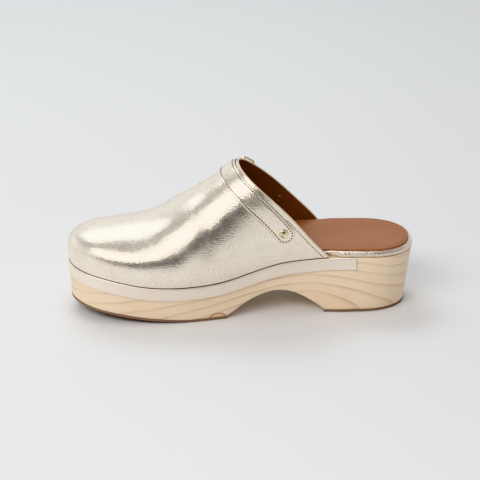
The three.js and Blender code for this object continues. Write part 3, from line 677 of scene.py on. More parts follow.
pine = pine_wood()
rubber = moulded_rubber()
brass = polished_brass("polished_brass", (0.86, 0.76, 0.54), (0.70, 0.56, 0.34), 0.14)
# Darker brass for the washers on the inside of the upper
darker_brass = polished_brass("washer_brass", (0.46, 0.27, 0.16), (0.30, 0.16, 0.09), 0.35)
thread = sewing_thread("pale_thread", (0.80, 0.70, 0.54), (0.64, 0.53, 0.38))
# Near-black brown for the needle holes: painted shade of the holes' recesses
needle_hole_shade = plain_leather("needle_hole_shade", (0.11, 0.065, 0.04), (0.06, 0.035, 0.02), 0.8, 0.0008, 0.00005)


# Geometry node trees
class Tree:
    """A geometry node tree on a path, with named sizes."""

    def __init__(self, name, sizes):
        self.tree = bpy.data.node_groups.new(name, "GeometryNodeTree")
        face = self.tree.interface
        face.new_socket("Path", in_out="INPUT", socket_type="NodeSocketGeometry")
        for label, value in sizes.items():
            kind = "NodeSocketInt" if isinstance(value, int) else "NodeSocketFloat"
            face.new_socket(label, in_out="INPUT", socket_type=kind).default_value = value
        face.new_socket("Geometry", in_out="OUTPUT", socket_type="NodeSocketGeometry")
        self.inputs = self.add("NodeGroupInput").outputs
        self.end = self.add("NodeGroupOutput").inputs[0]

    def add(self, kind, settings=None, **links):
        node = self.tree.nodes.new(kind)
        for key, value in (settings or {}).items():
            setattr(node, key, value)
        for label, value in links.items():
            self.link(value, node.inputs[label.replace("_", " ")])
        return node

    def link(self, value, socket):
        if isinstance(value, bpy.types.Node):
            value = value.outputs[0]
        if isinstance(value, bpy.types.NodeSocket):
            self.tree.links.new(value, socket)
        else:
            socket.default_value = value

    def direction(self, name):
        return self.add("GeometryNodeInputNamedAttribute", {"data_type": "FLOAT_VECTOR"}, Name=name)

    def math(self, operation, a, b):
        node = self.add("ShaderNodeMath", {"operation": operation})
        self.link(a, node.inputs[0])
        self.link(b, node.inputs[1])
        return node.outputs[0]

    def size(self, x, y, z):
        return self.add("ShaderNodeCombineXYZ", None, X=x, Y=y, Z=z).outputs[0]

    def painted(self, geometry, material):
        smooth = self.add("GeometryNodeSetShadeSmooth", None, Geometry=geometry)
        return self.add("GeometryNodeSetMaterial", None, Geometry=smooth, Material=material)

    def joined(self, *parts):
        node = self.add("GeometryNodeJoinGeometry")
        for part in parts:
            self.tree.links.new(part.outputs[0], node.inputs[0])
        return node


def stitch_tree():
    """A run of stitches along a path, each sinking into a needle hole shown as a dark dot of painted shade."""
    tree = Tree("stitch_run", {"Pitch": 0.0022, "Stitch": 0.0015, "Thread": 0.0006, "Hole": 0.00105})
    path, pitch, stitch, width, hole = [tree.inputs[k] for k in ("Path", "Pitch", "Stitch", "Thread", "Hole")]
    curve = tree.add("GeometryNodeMeshToCurve", None, Mesh=path)
    spots = tree.add("GeometryNodeResampleCurve", {"mode": "LENGTH"}, Curve=curve, Length=pitch)
    turn = tree.add(
        "FunctionNodeAxesToRotation", {"primary_axis": "X", "secondary_axis": "Z"},
        Primary_Axis=tree.add("GeometryNodeInputTangent"), Secondary_Axis=tree.direction("out"))

    def copies(shape, material):
        placed = tree.add(
            "GeometryNodeInstanceOnPoints", None, Points=spots, Instance=shape, Rotation=turn)
        real = tree.add("GeometryNodeRealizeInstances", None, Geometry=placed)
        return tree.painted(real, material)

    ball = tree.add("GeometryNodeMeshUVSphere", None, Segments=8, Rings=6, Radius=0.5)
    loop = tree.add("GeometryNodeTransform", None, Geometry=ball, Scale=tree.size(stitch, width, width))
    # Flat dark dots between the stitches: painted shade of the needle holes
    dot = tree.add("GeometryNodeMeshUVSphere", None, Segments=8, Rings=5, Radius=0.5)
    flat = tree.add(
        "GeometryNodeTransform", None, Geometry=dot,
        Translation=tree.size(tree.math("MULTIPLY", pitch, 0.5), 0.0, 0.0),
        Scale=tree.size(hole, hole, tree.math("MULTIPLY", hole, 0.45)))
    tree.link(tree.joined(copies(loop, thread), copies(flat, needle_hole_shade)), tree.end)
    return tree.tree


def rod_tree():
    """A round or oval rod along a path; the path's own thickness scales it."""
    tree = Tree("rod_on_path", {"Width": 0.0018, "Height": 0.0018, "Sides": 16})
    curve = tree.add("GeometryNodeMeshToCurve", None, Mesh=tree.inputs["Path"])
    thick = tree.add("GeometryNodeInputNamedAttribute", {"data_type": "FLOAT"}, Name="thick")
    shaped = tree.add("GeometryNodeSetCurveRadius", None, Curve=curve, Radius=thick)
    circle = tree.add("GeometryNodeCurvePrimitiveCircle", None, Resolution=tree.inputs["Sides"], Radius=0.5)
    oval = tree.add(
        "GeometryNodeTransform", None, Geometry=circle,
        Scale=tree.size(tree.inputs["Width"], tree.inputs["Height"], 1.0))
    rod = tree.add("GeometryNodeCurveToMesh", None, Curve=shaped, Profile_Curve=oval)
    tree.link(True, rod.inputs["Fill Caps"])
    tree.link(tree.add("GeometryNodeRealizeInstances", None, Geometry=rod), tree.end)
    return tree.tree


def lug_tree():
    """Small raised bars on the sole's underside."""
    tree = Tree("tread_bars", {"Length": 0.0052, "Width": 0.0016, "Height": 0.0008})
    block = tree.add(
        "GeometryNodeMeshCube", None,
        Size=tree.size(tree.inputs["Width"], tree.inputs["Length"], tree.inputs["Height"]))
    turn = tree.add(
        "FunctionNodeAxesToRotation", {"primary_axis": "X", "secondary_axis": "Z"},
        Primary_Axis=tree.direction("along"), Secondary_Axis=tree.direction("out"))
    placed = tree.add(
        "GeometryNodeInstanceOnPoints", None, Points=tree.inputs["Path"], Instance=block, Rotation=turn)
    real = tree.add("GeometryNodeRealizeInstances", None, Geometry=placed)
    tree.link(tree.add("GeometryNodeSetMaterial", None, Geometry=real, Material=rubber), tree.end)
    return tree.tree


def path_object(name, points, attributes=None, closed=False, linked=True):
    """A temporary path through points in millimetres, with directions or sizes on its points."""
    count = len(points)
    edges = [(i, i + 1) for i in range(count - 1)] if linked else []
    if closed:
        edges.append((count - 1, 0))
    mesh = bpy.data.meshes.new(name)
    mesh.from_pydata(to_scene(points).tolist(), edges, [])
    for label, values in (attributes or {}).items():
        values = np.asarray(values, float)
        kind = "FLOAT" if values.ndim == 1 else "FLOAT_VECTOR"
        layer = mesh.attributes.new(label, kind, "POINT")
        layer.data.foreach_set("value" if values.ndim == 1 else "vector", values.ravel())
    piece = bpy.data.objects.new(name, mesh)
    bpy.context.collection.objects.link(piece)
    return piece


def grown(name, path, tree, sizes=None, material=None, sharp=None):
    """The plain mesh that a tree makes on a path."""
    modifier = path.modifiers.new("tree", "NODES")
    modifier.node_group = tree
    for item in tree.interface.items_tree:
        if sizes and item.in_out == "INPUT" and item.name in sizes:
            modifier[item.identifier] = sizes[item.name]
    bpy.context.view_layer.update()
    evaluated = path.evaluated_get(bpy.context.evaluated_depsgraph_get())
    mesh = bpy.data.meshes.new_from_object(evaluated)
    bpy.data.objects.remove(path)
    for attribute in [a for a in mesh.attributes if a.name in ("out", "along", "thick")]:
        mesh.attributes.remove(attribute)
    for polygon in mesh.polygons:
        polygon.use_smooth = True
    if sharp:
        mesh.set_sharp_from_angle(angle=math.radians(sharp))
    if material:
        mesh.materials.clear()
        mesh.materials.append(material)
    mesh.name = name
    piece = bpy.data.objects.new(name, mesh)
    bpy.context.collection.objects.link(piece)
    return piece


def seat(piece, slot, *replaced):
    """Every piece rides on the shoe's one body."""
    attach(piece, "root")
    if replaced:
        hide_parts(*replaced)
    return piece


def cut(piece, cutter, solver="EXACT"):
    """Takes one closed piece out of another."""
    modifier = piece.modifiers.new("cut", "BOOLEAN")
    modifier.operation = "DIFFERENCE"
    modifier.solver = solver
    modifier.object = cutter
    bpy.context.view_layer.update()
    evaluated = piece.evaluated_get(bpy.context.evaluated_depsgraph_get())
    mesh = bpy.data.meshes.new_from_object(evaluated)
    piece.modifiers.clear()
    piece.data = mesh
    bpy.data.objects.remove(cutter)


# Wooden sole
def wood_row(depth, trim=0.0):
    def row(stations, side):
        x, y = wood_side(stations, side, depth)
        top = wood_top(wood_side(stations, side, 0)[0])
        bottom = wood_bottom(wood_side(stations, side, 1)[0])
        y = y - side * trim * side_fade(stations)
        return x, y, mix(top, bottom, depth)

    return row


heel_front = station_at(HEEL_BLOCK_LENGTH)
forefoot_rear = station_at(FOREFOOT_START)
wood_stations = stations_between(0, SOLE_LENGTH, extra=(heel_front, forefoot_rear))
wood_rows = [wood_row(1, 0.6), wood_row(0.98, 0.15), wood_row(0.95)]
wood_rows += [wood_row(depth) for depth in (0.8, 0.6, 0.4, 0.2, 0.03)]
wood_rows += [wood_row(0.01, 0.1), wood_row(0, 0.4)]
wood = plate("pine_sole", wood_stations, wood_rows, pine)


# Rubber soles with a bevelled edge and a tread of short bars
TREAD_DEPTH = 0.8


def rubber_row(height, trim):
    def row(stations, side):
        x, y = wood_side(stations, side, 1)
        y = y - side * trim * side_fade(stations)
        return x, y, floor_line(x) + height

    return row


def rubber_piece(name, start, end):
    rows = [rubber_row(TREAD_DEPTH, 2.2), rubber_row(TREAD_DEPTH, 1.9), rubber_row(0.0, 1.8), rubber_row(0.0, 1.1)]
    rows += [rubber_row(0.35, 0.6), rubber_row(RUBBER_THICKNESS - 0.2, 0.35)]
    rows += [rubber_row(RUBBER_THICKNESS + 0.25, 0.5)]
    return plate(name, stations_between(start, end), rows, rubber, sharp=40)


seat(rubber_piece("forefoot_rubber", forefoot_rear, SOLE_LENGTH), "brown_rubber", "outsole_forefoot")
seat(rubber_piece("heel_rubber", 0, heel_front), "brown_rubber", "outsole_heel")


def tread_points():
    """Rows of bars that turn one way and the other, inside the rubber's edge."""
    spots, turns = [], []
    stations = np.linspace(0, SOLE_LENGTH, 801)
    near_x, near_y = wood_side(stations, 1, 1)
    _, far_y = wood_side(stations, -1, 1)
    for i, x in enumerate(np.arange(12.0, SOLE_LENGTH - 6, 4.2)):
        if HEEL_BLOCK_LENGTH - 4 < x < FOREFOOT_START + 4:
            continue
        near, far = np.interp(x, near_x, near_y) - 4.5, np.interp(x, near_x, far_y) + 4.5
        count = int((near - far) / 5.4)
        for j in range(max(count, 0) + 1):
            y = (near + far) / 2 + (j - count / 2) * 5.4
            spots.append((x, y, float(floor_line(x)) + TREAD_DEPTH / 2 + 0.04))
            turns.append((math.cos(0.6), math.sin(0.6) * (1 if (i + j) % 2 else -1), 0))
    return np.array(spots), np.array(turns)


tread_spots, tread_turns = tread_points()
tread_outs = np.tile([0.0, 0.0, 1.0], (len(tread_spots), 1))
tread_path = path_object("tread", tread_spots, {"along": tread_turns, "out": tread_outs}, linked=False)
seat(grown("tread_bars", tread_path, lug_tree()), "brown_rubber")


# Edge strip in its rebate round the top of the wood
def edge_band(name, start, profile, material, sharp=None):
    """A band from the medial side round the toe to the lateral side."""
    stations = stations_between(start, SOLE_LENGTH)
    share = (stations - start) / (SOLE_LENGTH - start)
    sides = []
    for side in (1, -1):
        points = []
        for grow, height in profile:
            reach = SOLE_LENGTH + grow
            place = np.minimum(mix(start, reach, share), reach)
            points.append(np.stack([place, outline(place, side, grow), wood_top(stations) + height], -1))
        sides.append(np.stack(points, 1))
    return loft(name, np.concatenate([sides[0], sides[1][-2::-1]]), material, sharp)


strip_profile = [(-1.1, 0.0), (-1.1, -STRIP_HEIGHT), (-0.4, -STRIP_HEIGHT), (-0.12, -STRIP_HEIGHT + 0.12)]
strip_profile += [(0.0, -STRIP_HEIGHT + 0.5), (0.08, -8.0), (0.12, -6.0), (0.12, -4.0), (0.08, -2.0)]
strip_profile += [(0.0, -0.8), (-0.12, -0.36), (-0.4, -0.08), (-0.75, 0.02)]
strip = edge_band("strip_round_wood", STRIP_END_X, strip_profile, strip_leather, sharp=50)
seat(strip, "metallic_leather", "edge_strip")
REBATE_SET = STRIP_THICKNESS + CLEARANCE
rebate_profile = [(-REBATE_SET, -STRIP_HEIGHT - CLEARANCE), (3.0, -STRIP_HEIGHT - CLEARANCE)]
rebate_profile += [(3.0, 3.0), (-REBATE_SET, 3.0)]
cut(wood, edge_band("rebate", STRIP_END_X - CLEARANCE, rebate_profile, pine))
for polygon in wood.data.polygons:
    polygon.use_smooth = True
wood.data.set_sharp_from_angle(angle=math.radians(38))
seat(wood, "pine", "wood_sole")


# Footbed with its wrapped edge, and the tan cover on it
def bedded(stations, side, grow, height, pull, tuck):
    share = np.clip((stations - FOOTBED_TUCK_START) / (FOOTBED_TUCK_END - FOOTBED_TUCK_START), 0, 1)
    tucked = -tuck * ease(share)
    x = mix(-grow, SOLE_LENGTH + grow - tuck, stations / SOLE_LENGTH)
    edge = outline(stations, side, 0) + side * (grow + tucked) * side_fade(stations)
    middle = centre_line(stations)
    return x, middle + (edge - middle) * pull, wood_top(x) + height


def bed_row(grow, height, pull=1.0):
    return lambda stations, side: bedded(stations, side, grow, height, pull, FOOTBED_TUCK)


bed_stations = stations_between(0, SOLE_LENGTH, extra=(FOOTBED_TUCK_START, FOOTBED_TUCK_END))
BED_TOP = CLEARANCE + FOOTBED_THICKNESS
bed_rows = [bed_row(-1.6, 0.12)]
for degrees in np.linspace(-70, 70, 11):
    turn = math.radians(degrees)
    bed_rows.append(bed_row(-1.5 + 1.5 * math.cos(turn), 2.5 + 2.2 * math.sin(turn)))
bed_rows += [bed_row(-2.0, BED_TOP - 0.08), bed_row(-3.4, BED_TOP)]
footbed = plate("footbed_pad", bed_stations, bed_rows, rim_leather)
seat(footbed, "metallic_leather", "footbed")

COVER_BASE = BED_TOP
COVER_TOP = BED_TOP + CLEARANCE + COVER_THICKNESS


def cover_row(grow, height, pull=1.0):
    def row(stations, side):
        x, y, z = bedded(stations, side, grow, height, pull, COVER_TUCK)
        dish = 0.9 * np.exp(-(((stations - 42) / 26) ** 2)) * (1 - pull**2)
        crown = 0.5 * np.exp(-(((stations - 120) / 34) ** 2)) * (1 - pull**2)
        return x, y, z - dish + crown

    return row


cover_rows = [cover_row(-COVER_SET_IN, COVER_BASE - 0.2), cover_row(-COVER_SET_IN, COVER_TOP - 0.45)]
cover_rows += [cover_row(-COVER_SET_IN - 0.12, COVER_TOP - 0.16), cover_row(-COVER_SET_IN - 0.5, COVER_TOP)]
cover_rows += [cover_row(-COVER_SET_IN - 1.4, COVER_TOP), cover_row(-COVER_SET_IN - 1.9, COVER_TOP - 0.06)]
cover_rows += [cover_row(-COVER_SET_IN - 2.2, COVER_TOP - 0.5), cover_row(-COVER_SET_IN - 2.5, COVER_TOP - 0.06)]
cover_rows += [cover_row(-COVER_SET_IN - 3.0, COVER_TOP + 0.02)]
cover_rows += [cover_row(-COVER_SET_IN - 3.6, COVER_TOP, pull) for pull in (0.97, 0.88, 0.74, 0.55, 0.3, 0.0)]
seat(plate("insole_cover", bed_stations, cover_rows, tan_leather), "tan_leather", "insole")


# Upper
def flex(points):
    """Soft rolls across the vamp, in millimetres outwards."""
    x, y = points[..., 0], points[..., 1]
    slant = x + 0.18 * (y - centre_line(x))
    rolls = 0.0
    for middle, width, rise in ((190, 8, -0.55), (176, 7, 0.35), (164, 7, -0.45), (150, 8, 0.3)):
        rolls = rolls + rise * np.exp(-(((slant - middle) / width) ** 2))
    height = points[..., 2] - wood_top(x)
    fade = ease(np.clip((height - 14) / 16, 0, 1))
    return rolls * fade


def skin(inset, rings, climb_steps, fan_steps, start=0.0):
    along = start + (1 - start) * np.linspace(0, 1, rings) ** 1.15
    climb = np.linspace(0, 90, climb_steps)
    bearings = np.linspace(90, -90, fan_steps + 1)[1:-1]
    near = ring_points(along[:, None], climb[None, :], inset)
    fan = fan_points(bearings[:, None], climb[None, :], inset)
    far = ring_points(along[::-1, None], 180 - climb[None, :], inset)
    points = np.concatenate([near, fan, far])
    lift = flex(points)
    return points + outward(points) * lift[..., None]


def shell(name, outer, inner, material):
    """A closed wall between two skins of the same grid."""
    rows, columns, _ = outer.shape
    count = rows * columns
    faces = grid_faces(rows, columns) + grid_faces(rows, columns, first=count)
    last = (rows - 1) * columns
    rim = list(range(columns)) + [last + j for j in range(columns - 1, -1, -1)]
    sill = [i * columns for i in range(rows)]
    for line in (rim, sill):
        for a, b in zip(line, line[1:]):
            faces.append((a, b, b + count, a + count))
    points = np.concatenate([outer.reshape(-1, 3), inner.reshape(-1, 3)])
    return piece_from(name, points, faces, material, sharp=55)


LINING_SET = 1.25
grid = (92, 64, 72)
seat(shell("gold_upper", skin(0, *grid), skin(LINING_SET, *grid), gold_leather), "metallic_leather", "upper")
coarse = (60, 40, 40)
lining = shell("upper_lining", skin(LINING_SET + 0.04, *coarse), skin(WALL, *coarse), lining_leather)
seat(lining, "tan_leather")

# Painted cut edge round the collar
rod = rod_tree()
edge_degrees = np.linspace(0.0, 180.0, 241)
edge_outer = ring_points(0, edge_degrees, 0.0)
edge_inner = ring_points(0, edge_degrees, WALL)
edge_path = path_object("edge", mix(edge_outer, edge_inner, 0.42), {"thick": np.ones(len(edge_degrees))})
edge_sizes = {"Width": 0.0016, "Height": 0.0016, "Sides": 12}
seat(grown("collar_edge", edge_path, rod, edge_sizes, edge_paint), "metallic_leather")

# Dark rod where the upper meets the wood: painted shadow of the gap between the upper and the strip
foot_along = np.linspace(0.004, 1, 150)
foot_bearings = np.linspace(90, -90, 61)[1:-1]
foot_line = np.concatenate([
    ring_points(foot_along, 0.0, 0.1), fan_points(foot_bearings, 0.0, 0.1),
    ring_points(foot_along[::-1], 180.0, 0.1)])
foot_line[:, 2] += 0.12
foot_path = path_object("foot_line", foot_line, {"thick": np.ones(len(foot_line))})
foot_sizes = {"Width": 0.0009, "Height": 0.0009, "Sides": 8}
seat(grown("upper_foot_gap_shadow", foot_path, rod, foot_sizes, gap_shadow_paint), "metallic_leather")


# Leather bands on the upper
BAND_HALF = STRAP_WIDTH / 2
SEAM_INSET = 1.75
BAR_RADIUS = BAR_DIAMETER / 2
STRAP_TOP = CLEARANCE + STRAP_THICKNESS
BAR_LIFT = STRAP_TOP + CLEARANCE + BAR_RADIUS
HEEL_BAR_RUN = BUCKLE_START + BUCKLE_LENGTH - BAR_DIAMETER
LOOP_RADIUS = BAR_RADIUS + SNUG + TAB_THICKNESS / 2
TAB_ON_STRAP = STRAP_TOP + CLEARANCE + TAB_THICKNESS / 2
TAB_ON_UPPER = CLEARANCE + TAB_THICKNESS / 2
FRAME_HALF = BUCKLE_WIDTH / 2 - BAR_RADIUS
LOOP_HALF = min(BAND_HALF, FRAME_HALF - FRAME_CORNER - CLEARANCE)


def half_from(distance):
    return BAND_HALF * math.sqrt(max(1 - max(1 - distance / BAND_HALF, 0) ** 2, 0))


def band(name, path, thickness, material, seams=True):
    """A band from places with run, lift of the middle, slope, half width and reach past the
    round end's centre."""
    run, lift, slope, half, beyond = [np.array(column)[:, None] for column in zip(*path)]
    columns = np.sin(np.radians(np.linspace(-90, 90, 37)))[None, :]
    across = columns * half
    from_edge = np.where(beyond > 0, BAND_HALF - np.hypot(beyond, across), half - np.abs(across))
    from_edge = np.clip(from_edge, 0, None)
    round_share = np.clip(from_edge / 0.7, 0, 1)
    height = thickness * (0.45 + 0.55 * np.sqrt(1 - (1 - round_share) ** 2))
    height = height + 0.22 * np.clip(from_edge / BAND_HALF, 0, 1) ** 0.7
    if seams:
        height = height - 0.2 * np.exp(-(((from_edge - SEAM_INSET) / 0.42) ** 2))
    up = height - thickness / 2
    top = strap_place(run + np.sin(-slope) * -up, across, lift + np.cos(slope) * up)
    down = thickness / 2
    under = strap_place(run - np.sin(-slope) * -down, across, lift - np.cos(slope) * down)
    sections = np.concatenate([top, under[:, ::-1]], axis=1)
    return loft(name, sections, material, sharp=70)


end_distances = BAND_HALF * (1 - np.cos(np.linspace(0.03, math.pi / 2, 16)))
strap_start = -STRAP_NEAR_LENGTH
strap_lift = CLEARANCE + STRAP_THICKNESS / 2
strap_path = [
    (strap_start + d, strap_lift, 0.0, half_from(d), BAND_HALF - d) for d in end_distances]
strap_path += [
    (run, strap_lift, 0.0, BAND_HALF, 0.0)
    for run in np.arange(strap_start + BAND_HALF + 1.2, STRAP_FAR_LENGTH, 1.2)]
strap = band("instep_band", strap_path, STRAP_THICKNESS, gold_leather)

tab_path = []
for degrees in np.linspace(-80, 20, 14):
    turn = math.radians(degrees)
    tab_path.append((
        HEEL_BAR_RUN + LOOP_RADIUS * math.sin(turn), BAR_LIFT + LOOP_RADIUS * math.cos(turn),
        -turn, LOOP_HALF, 0.0))
for share in np.linspace(0.35, 1, 8):
    lift = mix(BAR_LIFT + LOOP_RADIUS, TAB_ON_STRAP, ease(share))
    tab_path.append((HEEL_BAR_RUN + LOOP_SETTLE * share, lift, 0.0, mix(LOOP_HALF, BAND_HALF, share), 0.0))
for run in np.arange(HEEL_BAR_RUN + LOOP_SETTLE + 1.2, STRAP_FAR_LENGTH + 0.6, 1.2):
    tab_path.append((run, TAB_ON_STRAP, 0.0, BAND_HALF, 0.0))
for share in np.linspace(0, 1, 7):
    lift = mix(TAB_ON_STRAP, TAB_ON_UPPER, ease(share))
    tab_path.append((STRAP_FAR_LENGTH + 0.6 + STRAP_END_STEP * share, lift, 0.0, BAND_HALF, 0.0))
for run in np.arange(STRAP_FAR_LENGTH + STRAP_END_STEP + 1.8, TAB_END - BAND_HALF, 1.2):
    tab_path.append((run, TAB_ON_UPPER, 0.0, BAND_HALF, 0.0))
for d in end_distances[::-1]:
    tab_path.append((TAB_END - d, TAB_ON_UPPER, 0.0, half_from(d), BAND_HALF - d))
tab = band("buckle_tab_band", tab_path, TAB_THICKNESS, gold_leather)


def post(run, across, radius, low, high):
    """A round cutter through a band."""
    turns = np.linspace(0, 2 * math.pi, 25)[:-1]
    rings = [
        strap_place(run + radius * np.cos(turns), across + radius * np.sin(turns), lift)
        for lift in (low, high)]
    return loft("cutter", np.stack(rings), needle_hole_shade)


for run in (11.0, 18.0, 31.0):
    cut(strap, post(run, 0.0, 1.1, -1.0, 4.0))
slot_runs = np.array([HEEL_BAR_RUN - 2 * LOOP_RADIUS, HEEL_BAR_RUN, HEEL_BAR_RUN + LOOP_RADIUS + 3])
slot_corners = ((-0.5, STRAP_TOP), (0.5, STRAP_TOP), (0.5, BAR_LIFT + 4 * LOOP_RADIUS), (-0.5, BAR_LIFT + 4 * LOOP_RADIUS))
slot = np.stack([strap_place(slot_runs, a * PRONG_SLOT, np.full(3, b)) for a, b in slot_corners], 1)
cut(tab, loft("cutter", slot, needle_hole_shade), "FAST")
seat(strap, "metallic_leather", "instep_strap")
seat(tab, "metallic_leather", "buckle_tab")

# Dark cut edges of the strap and the tab, darkened further as painted contact shadow along the bands
def edge_shadow_rod(name, runs, across, lift):
    points = strap_place(runs, across, lift)
    path = path_object(name, points, {"thick": np.ones(len(points))})
    sizes = {"Width": 0.0006, "Height": 0.0006, "Sides": 8}
    seat(grown(name, path, rod, sizes, edge_and_shadow_paint), "metallic_leather")


def round_end(centre_run, direction, reach):
    """Runs and distances across, along one edge, round the end and back along the other."""
    turns = np.radians(np.linspace(-90, 90, 46))
    runs = centre_run + direction * reach * np.cos(turns)
    return runs, reach * np.sin(turns)


def edge_line(straight, centre_run, direction, reach):
    """Along one edge of a band, round its end and back along the other edge."""
    end_runs, end_across = round_end(centre_run, direction, reach)
    runs = np.concatenate([straight, end_runs, straight[::-1]])
    across = np.concatenate([
        np.full(len(straight), -reach), end_across, np.full(len(straight), reach)])
    return runs, across


rim_reach = BAND_HALF - 0.12
strap_straight = np.arange(BUCKLE_START - 1.5, strap_start + BAND_HALF, -0.8)
strap_edge = edge_line(strap_straight, strap_start + BAND_HALF, -1, rim_reach)
edge_shadow_rod("strap_edge_and_shadow", *strap_edge, CLEARANCE + 0.35)

# Stitches
stitches = stitch_tree()


def stitched(name, points, sizes=None):
    path = path_object(name, points, {"out": outward(points)})
    return seat(grown(name, path, stitches, sizes), "metallic_leather")


seam_reach = BAND_HALF - SEAM_INSET
seam_runs, seam_across = round_end(strap_start + BAND_HALF, -1, seam_reach)
straight = np.arange(BUCKLE_START - 1.5, strap_start + BAND_HALF, -0.6)
seam_runs = np.concatenate([straight, seam_runs, straight[::-1]])
seam_across = np.concatenate([
    np.full(len(straight), -seam_reach), seam_across, np.full(len(straight), seam_reach)])
seam_top = STRAP_TOP + 0.1
stitched("strap_stitches", strap_place(seam_runs, seam_across, seam_top))

tab_runs, tab_across = round_end(TAB_END - BAND_HALF, 1, seam_reach)
tab_straight = np.arange(STRAP_FAR_LENGTH + STRAP_END_STEP + 2, TAB_END - BAND_HALF, 0.6)
tab_lap = np.arange(HEEL_BAR_RUN + LOOP_SETTLE + 1, STRAP_FAR_LENGTH + 0.6, 0.6)
tab_step = STRAP_FAR_LENGTH + 0.6 + STRAP_END_STEP * np.linspace(0, 1, 10)
side_runs = np.concatenate([tab_lap, tab_step, tab_straight])
side_lift = np.concatenate([
    np.full(len(tab_lap), TAB_ON_STRAP),
    mix(TAB_ON_STRAP, TAB_ON_UPPER, ease(np.linspace(0, 1, 10))),
    np.full(len(tab_straight), TAB_ON_UPPER)])
tab_seam_runs = np.concatenate([side_runs, tab_runs, side_runs[::-1]])
tab_seam_across = np.concatenate([
    np.full(len(side_runs), -seam_reach), tab_across, np.full(len(side_runs), seam_reach)])
tab_seam_lift = np.concatenate([side_lift, np.full(len(tab_runs), TAB_ON_UPPER), side_lift[::-1]])
stitched("tab_stitches", strap_place(tab_seam_runs, tab_seam_across, tab_seam_lift + 0.55))
tab_edge = edge_line(side_runs, TAB_END - BAND_HALF, 1, rim_reach)
edge_shadow_rod("tab_edge_and_shadow", *tab_edge, tab_seam_lift - 0.25)

beyond_tab = float(np.interp(TAB_END + 1.5, line_runs, line_degrees))
for name, first, final in (("medial", 2.0, 52.0), ("lateral", 178.0, beyond_tab)):
    turns = np.linspace(first, final, 160)
    row = beside_collar(turns, 2.7)
    stitched(f"collar_stitches_{name}", row + outward(row) * 0.02)

# Buckle
def frame_places():
    places = []

    def corner(run, across, start):
        for degrees in np.linspace(start, start + 90, 9):
            turn = math.radians(degrees)
            places.append((run + FRAME_CORNER * math.cos(turn), across + FRAME_CORNER * math.sin(turn)))

    first, final = BUCKLE_START + BAR_RADIUS, HEEL_BAR_RUN
    reach = FRAME_HALF - FRAME_CORNER
    sides = [(0.75, 0.5, 0.25), (0.75, 0.5, 0.25, 0, -0.25, -0.5, -0.75)]
    corner(final - FRAME_CORNER, reach, 0)
    places.extend((mix(first, final, share), FRAME_HALF) for share in sides[0])
    corner(first + FRAME_CORNER, reach, 90)
    places.extend((first, share * reach) for share in sides[1])
    corner(first + FRAME_CORNER, -reach, 180)
    places.extend((mix(first, final, 1 - share), -FRAME_HALF) for share in sides[0])
    corner(final - FRAME_CORNER, -reach, 270)
    places.extend((final, -share * reach) for share in sides[1])
    return np.array(places)


frame_spots = frame_places()
frame_points = strap_place(frame_spots[:, 0], frame_spots[:, 1], BAR_LIFT)
frame_path = path_object("frame", frame_points, {"thick": np.ones(len(frame_points))}, closed=True)
frame_sizes = {"Width": BAR_DIAMETER / 1000, "Height": BAR_DIAMETER / 1000, "Sides": 20}
seat(grown("buckle_frame_bar", frame_path, rod, frame_sizes, brass), "brass", "buckle_frame")

PRONG_RADIUS = PRONG_DIAMETER / 2
HOOK = BAR_RADIUS + SNUG + PRONG_RADIUS
hook_turns = np.radians(np.linspace(100, 0, 14))
prong_runs = HEEL_BAR_RUN + HOOK * np.sin(hook_turns)
prong_lifts = BAR_LIFT + HOOK * np.cos(hook_turns)
reach_shares = np.linspace(0.08, 1, 14)
prong_runs = np.concatenate([prong_runs, mix(HEEL_BAR_RUN, BUCKLE_START - 0.8, reach_shares)])
prong_lifts = np.concatenate([prong_lifts, np.full(14, BAR_LIFT + HOOK)])
prong_thick = np.concatenate([np.ones(14), mix(1.0, 0.6, reach_shares)])
prong_path = path_object("prong", strap_place(prong_runs, 0.0, prong_lifts), {"thick": prong_thick})
prong_sizes = {"Width": PRONG_DIAMETER / 1000, "Height": PRONG_DIAMETER / 1000, "Sides": 16}
seat(grown("buckle_prong_pin", prong_path, rod, prong_sizes, brass), "brass", "buckle_prong")


# Rivets
def turned(name, profile, run, material, sides=40):
    """A turned piece on the strap's line, from radii and lifts along its axis."""
    point, out, side = strap_frame(np.array(run))
    other = np.cross(out, side)
    turns = np.linspace(0, 2 * math.pi, sides + 1)[:-1]
    rings = [
        point + out * lift + radius * (np.cos(turns)[:, None] * side + np.sin(turns)[:, None] * other)
        for radius, lift in profile]
    return loft(name, np.array(rings), material, sharp=50)


def rivet(name, run, stack, node):
    head = stack + 0.1
    radius = RIVET_HEAD_DIAMETER / 2
    profile = [(radius - 0.5, head), (radius - 0.12, head), (radius, head + 0.25), (radius - 0.08, head + 0.55)]
    profile += [(radius - 0.45, head + 0.9), (radius - 0.95, head + 1.02), (radius - 1.25, head + 0.86)]
    profile += [(radius - 1.4, head + 0.7), (radius - 1.6, head + 0.72), (1.3, head + 1.05)]
    profile += [(0.7, head + 1.25), (0.15, head + 1.32)]
    seat(turned(name, profile, run, brass), "brass", node)


def washer(name, run):
    inside = -WALL - 0.05
    outer = WASHER_DIAMETER / 2
    profile = [(outer - 0.2, inside), (outer, inside - 0.25), (outer - 0.15, inside - 0.6)]
    profile += [(outer - 0.5, inside - 0.85), (outer - 0.85, inside - 0.8), (outer - 1.1, inside - 0.3)]
    profile += [(0.5, inside - 0.15), (0.1, inside - 0.15)]
    seat(turned(name, profile, run, darker_brass), "brass")


rivet("medial_rivet", strap_start + RIVET_INSET, STRAP_TOP, "rivet_medial")
rivet("lateral_rivet", TAB_END - RIVET_INSET, CLEARANCE + TAB_THICKNESS, "rivet_lateral")
washer("medial_washer", strap_start + RIVET_INSET)
washer("lateral_washer", TAB_END - RIVET_INSET)

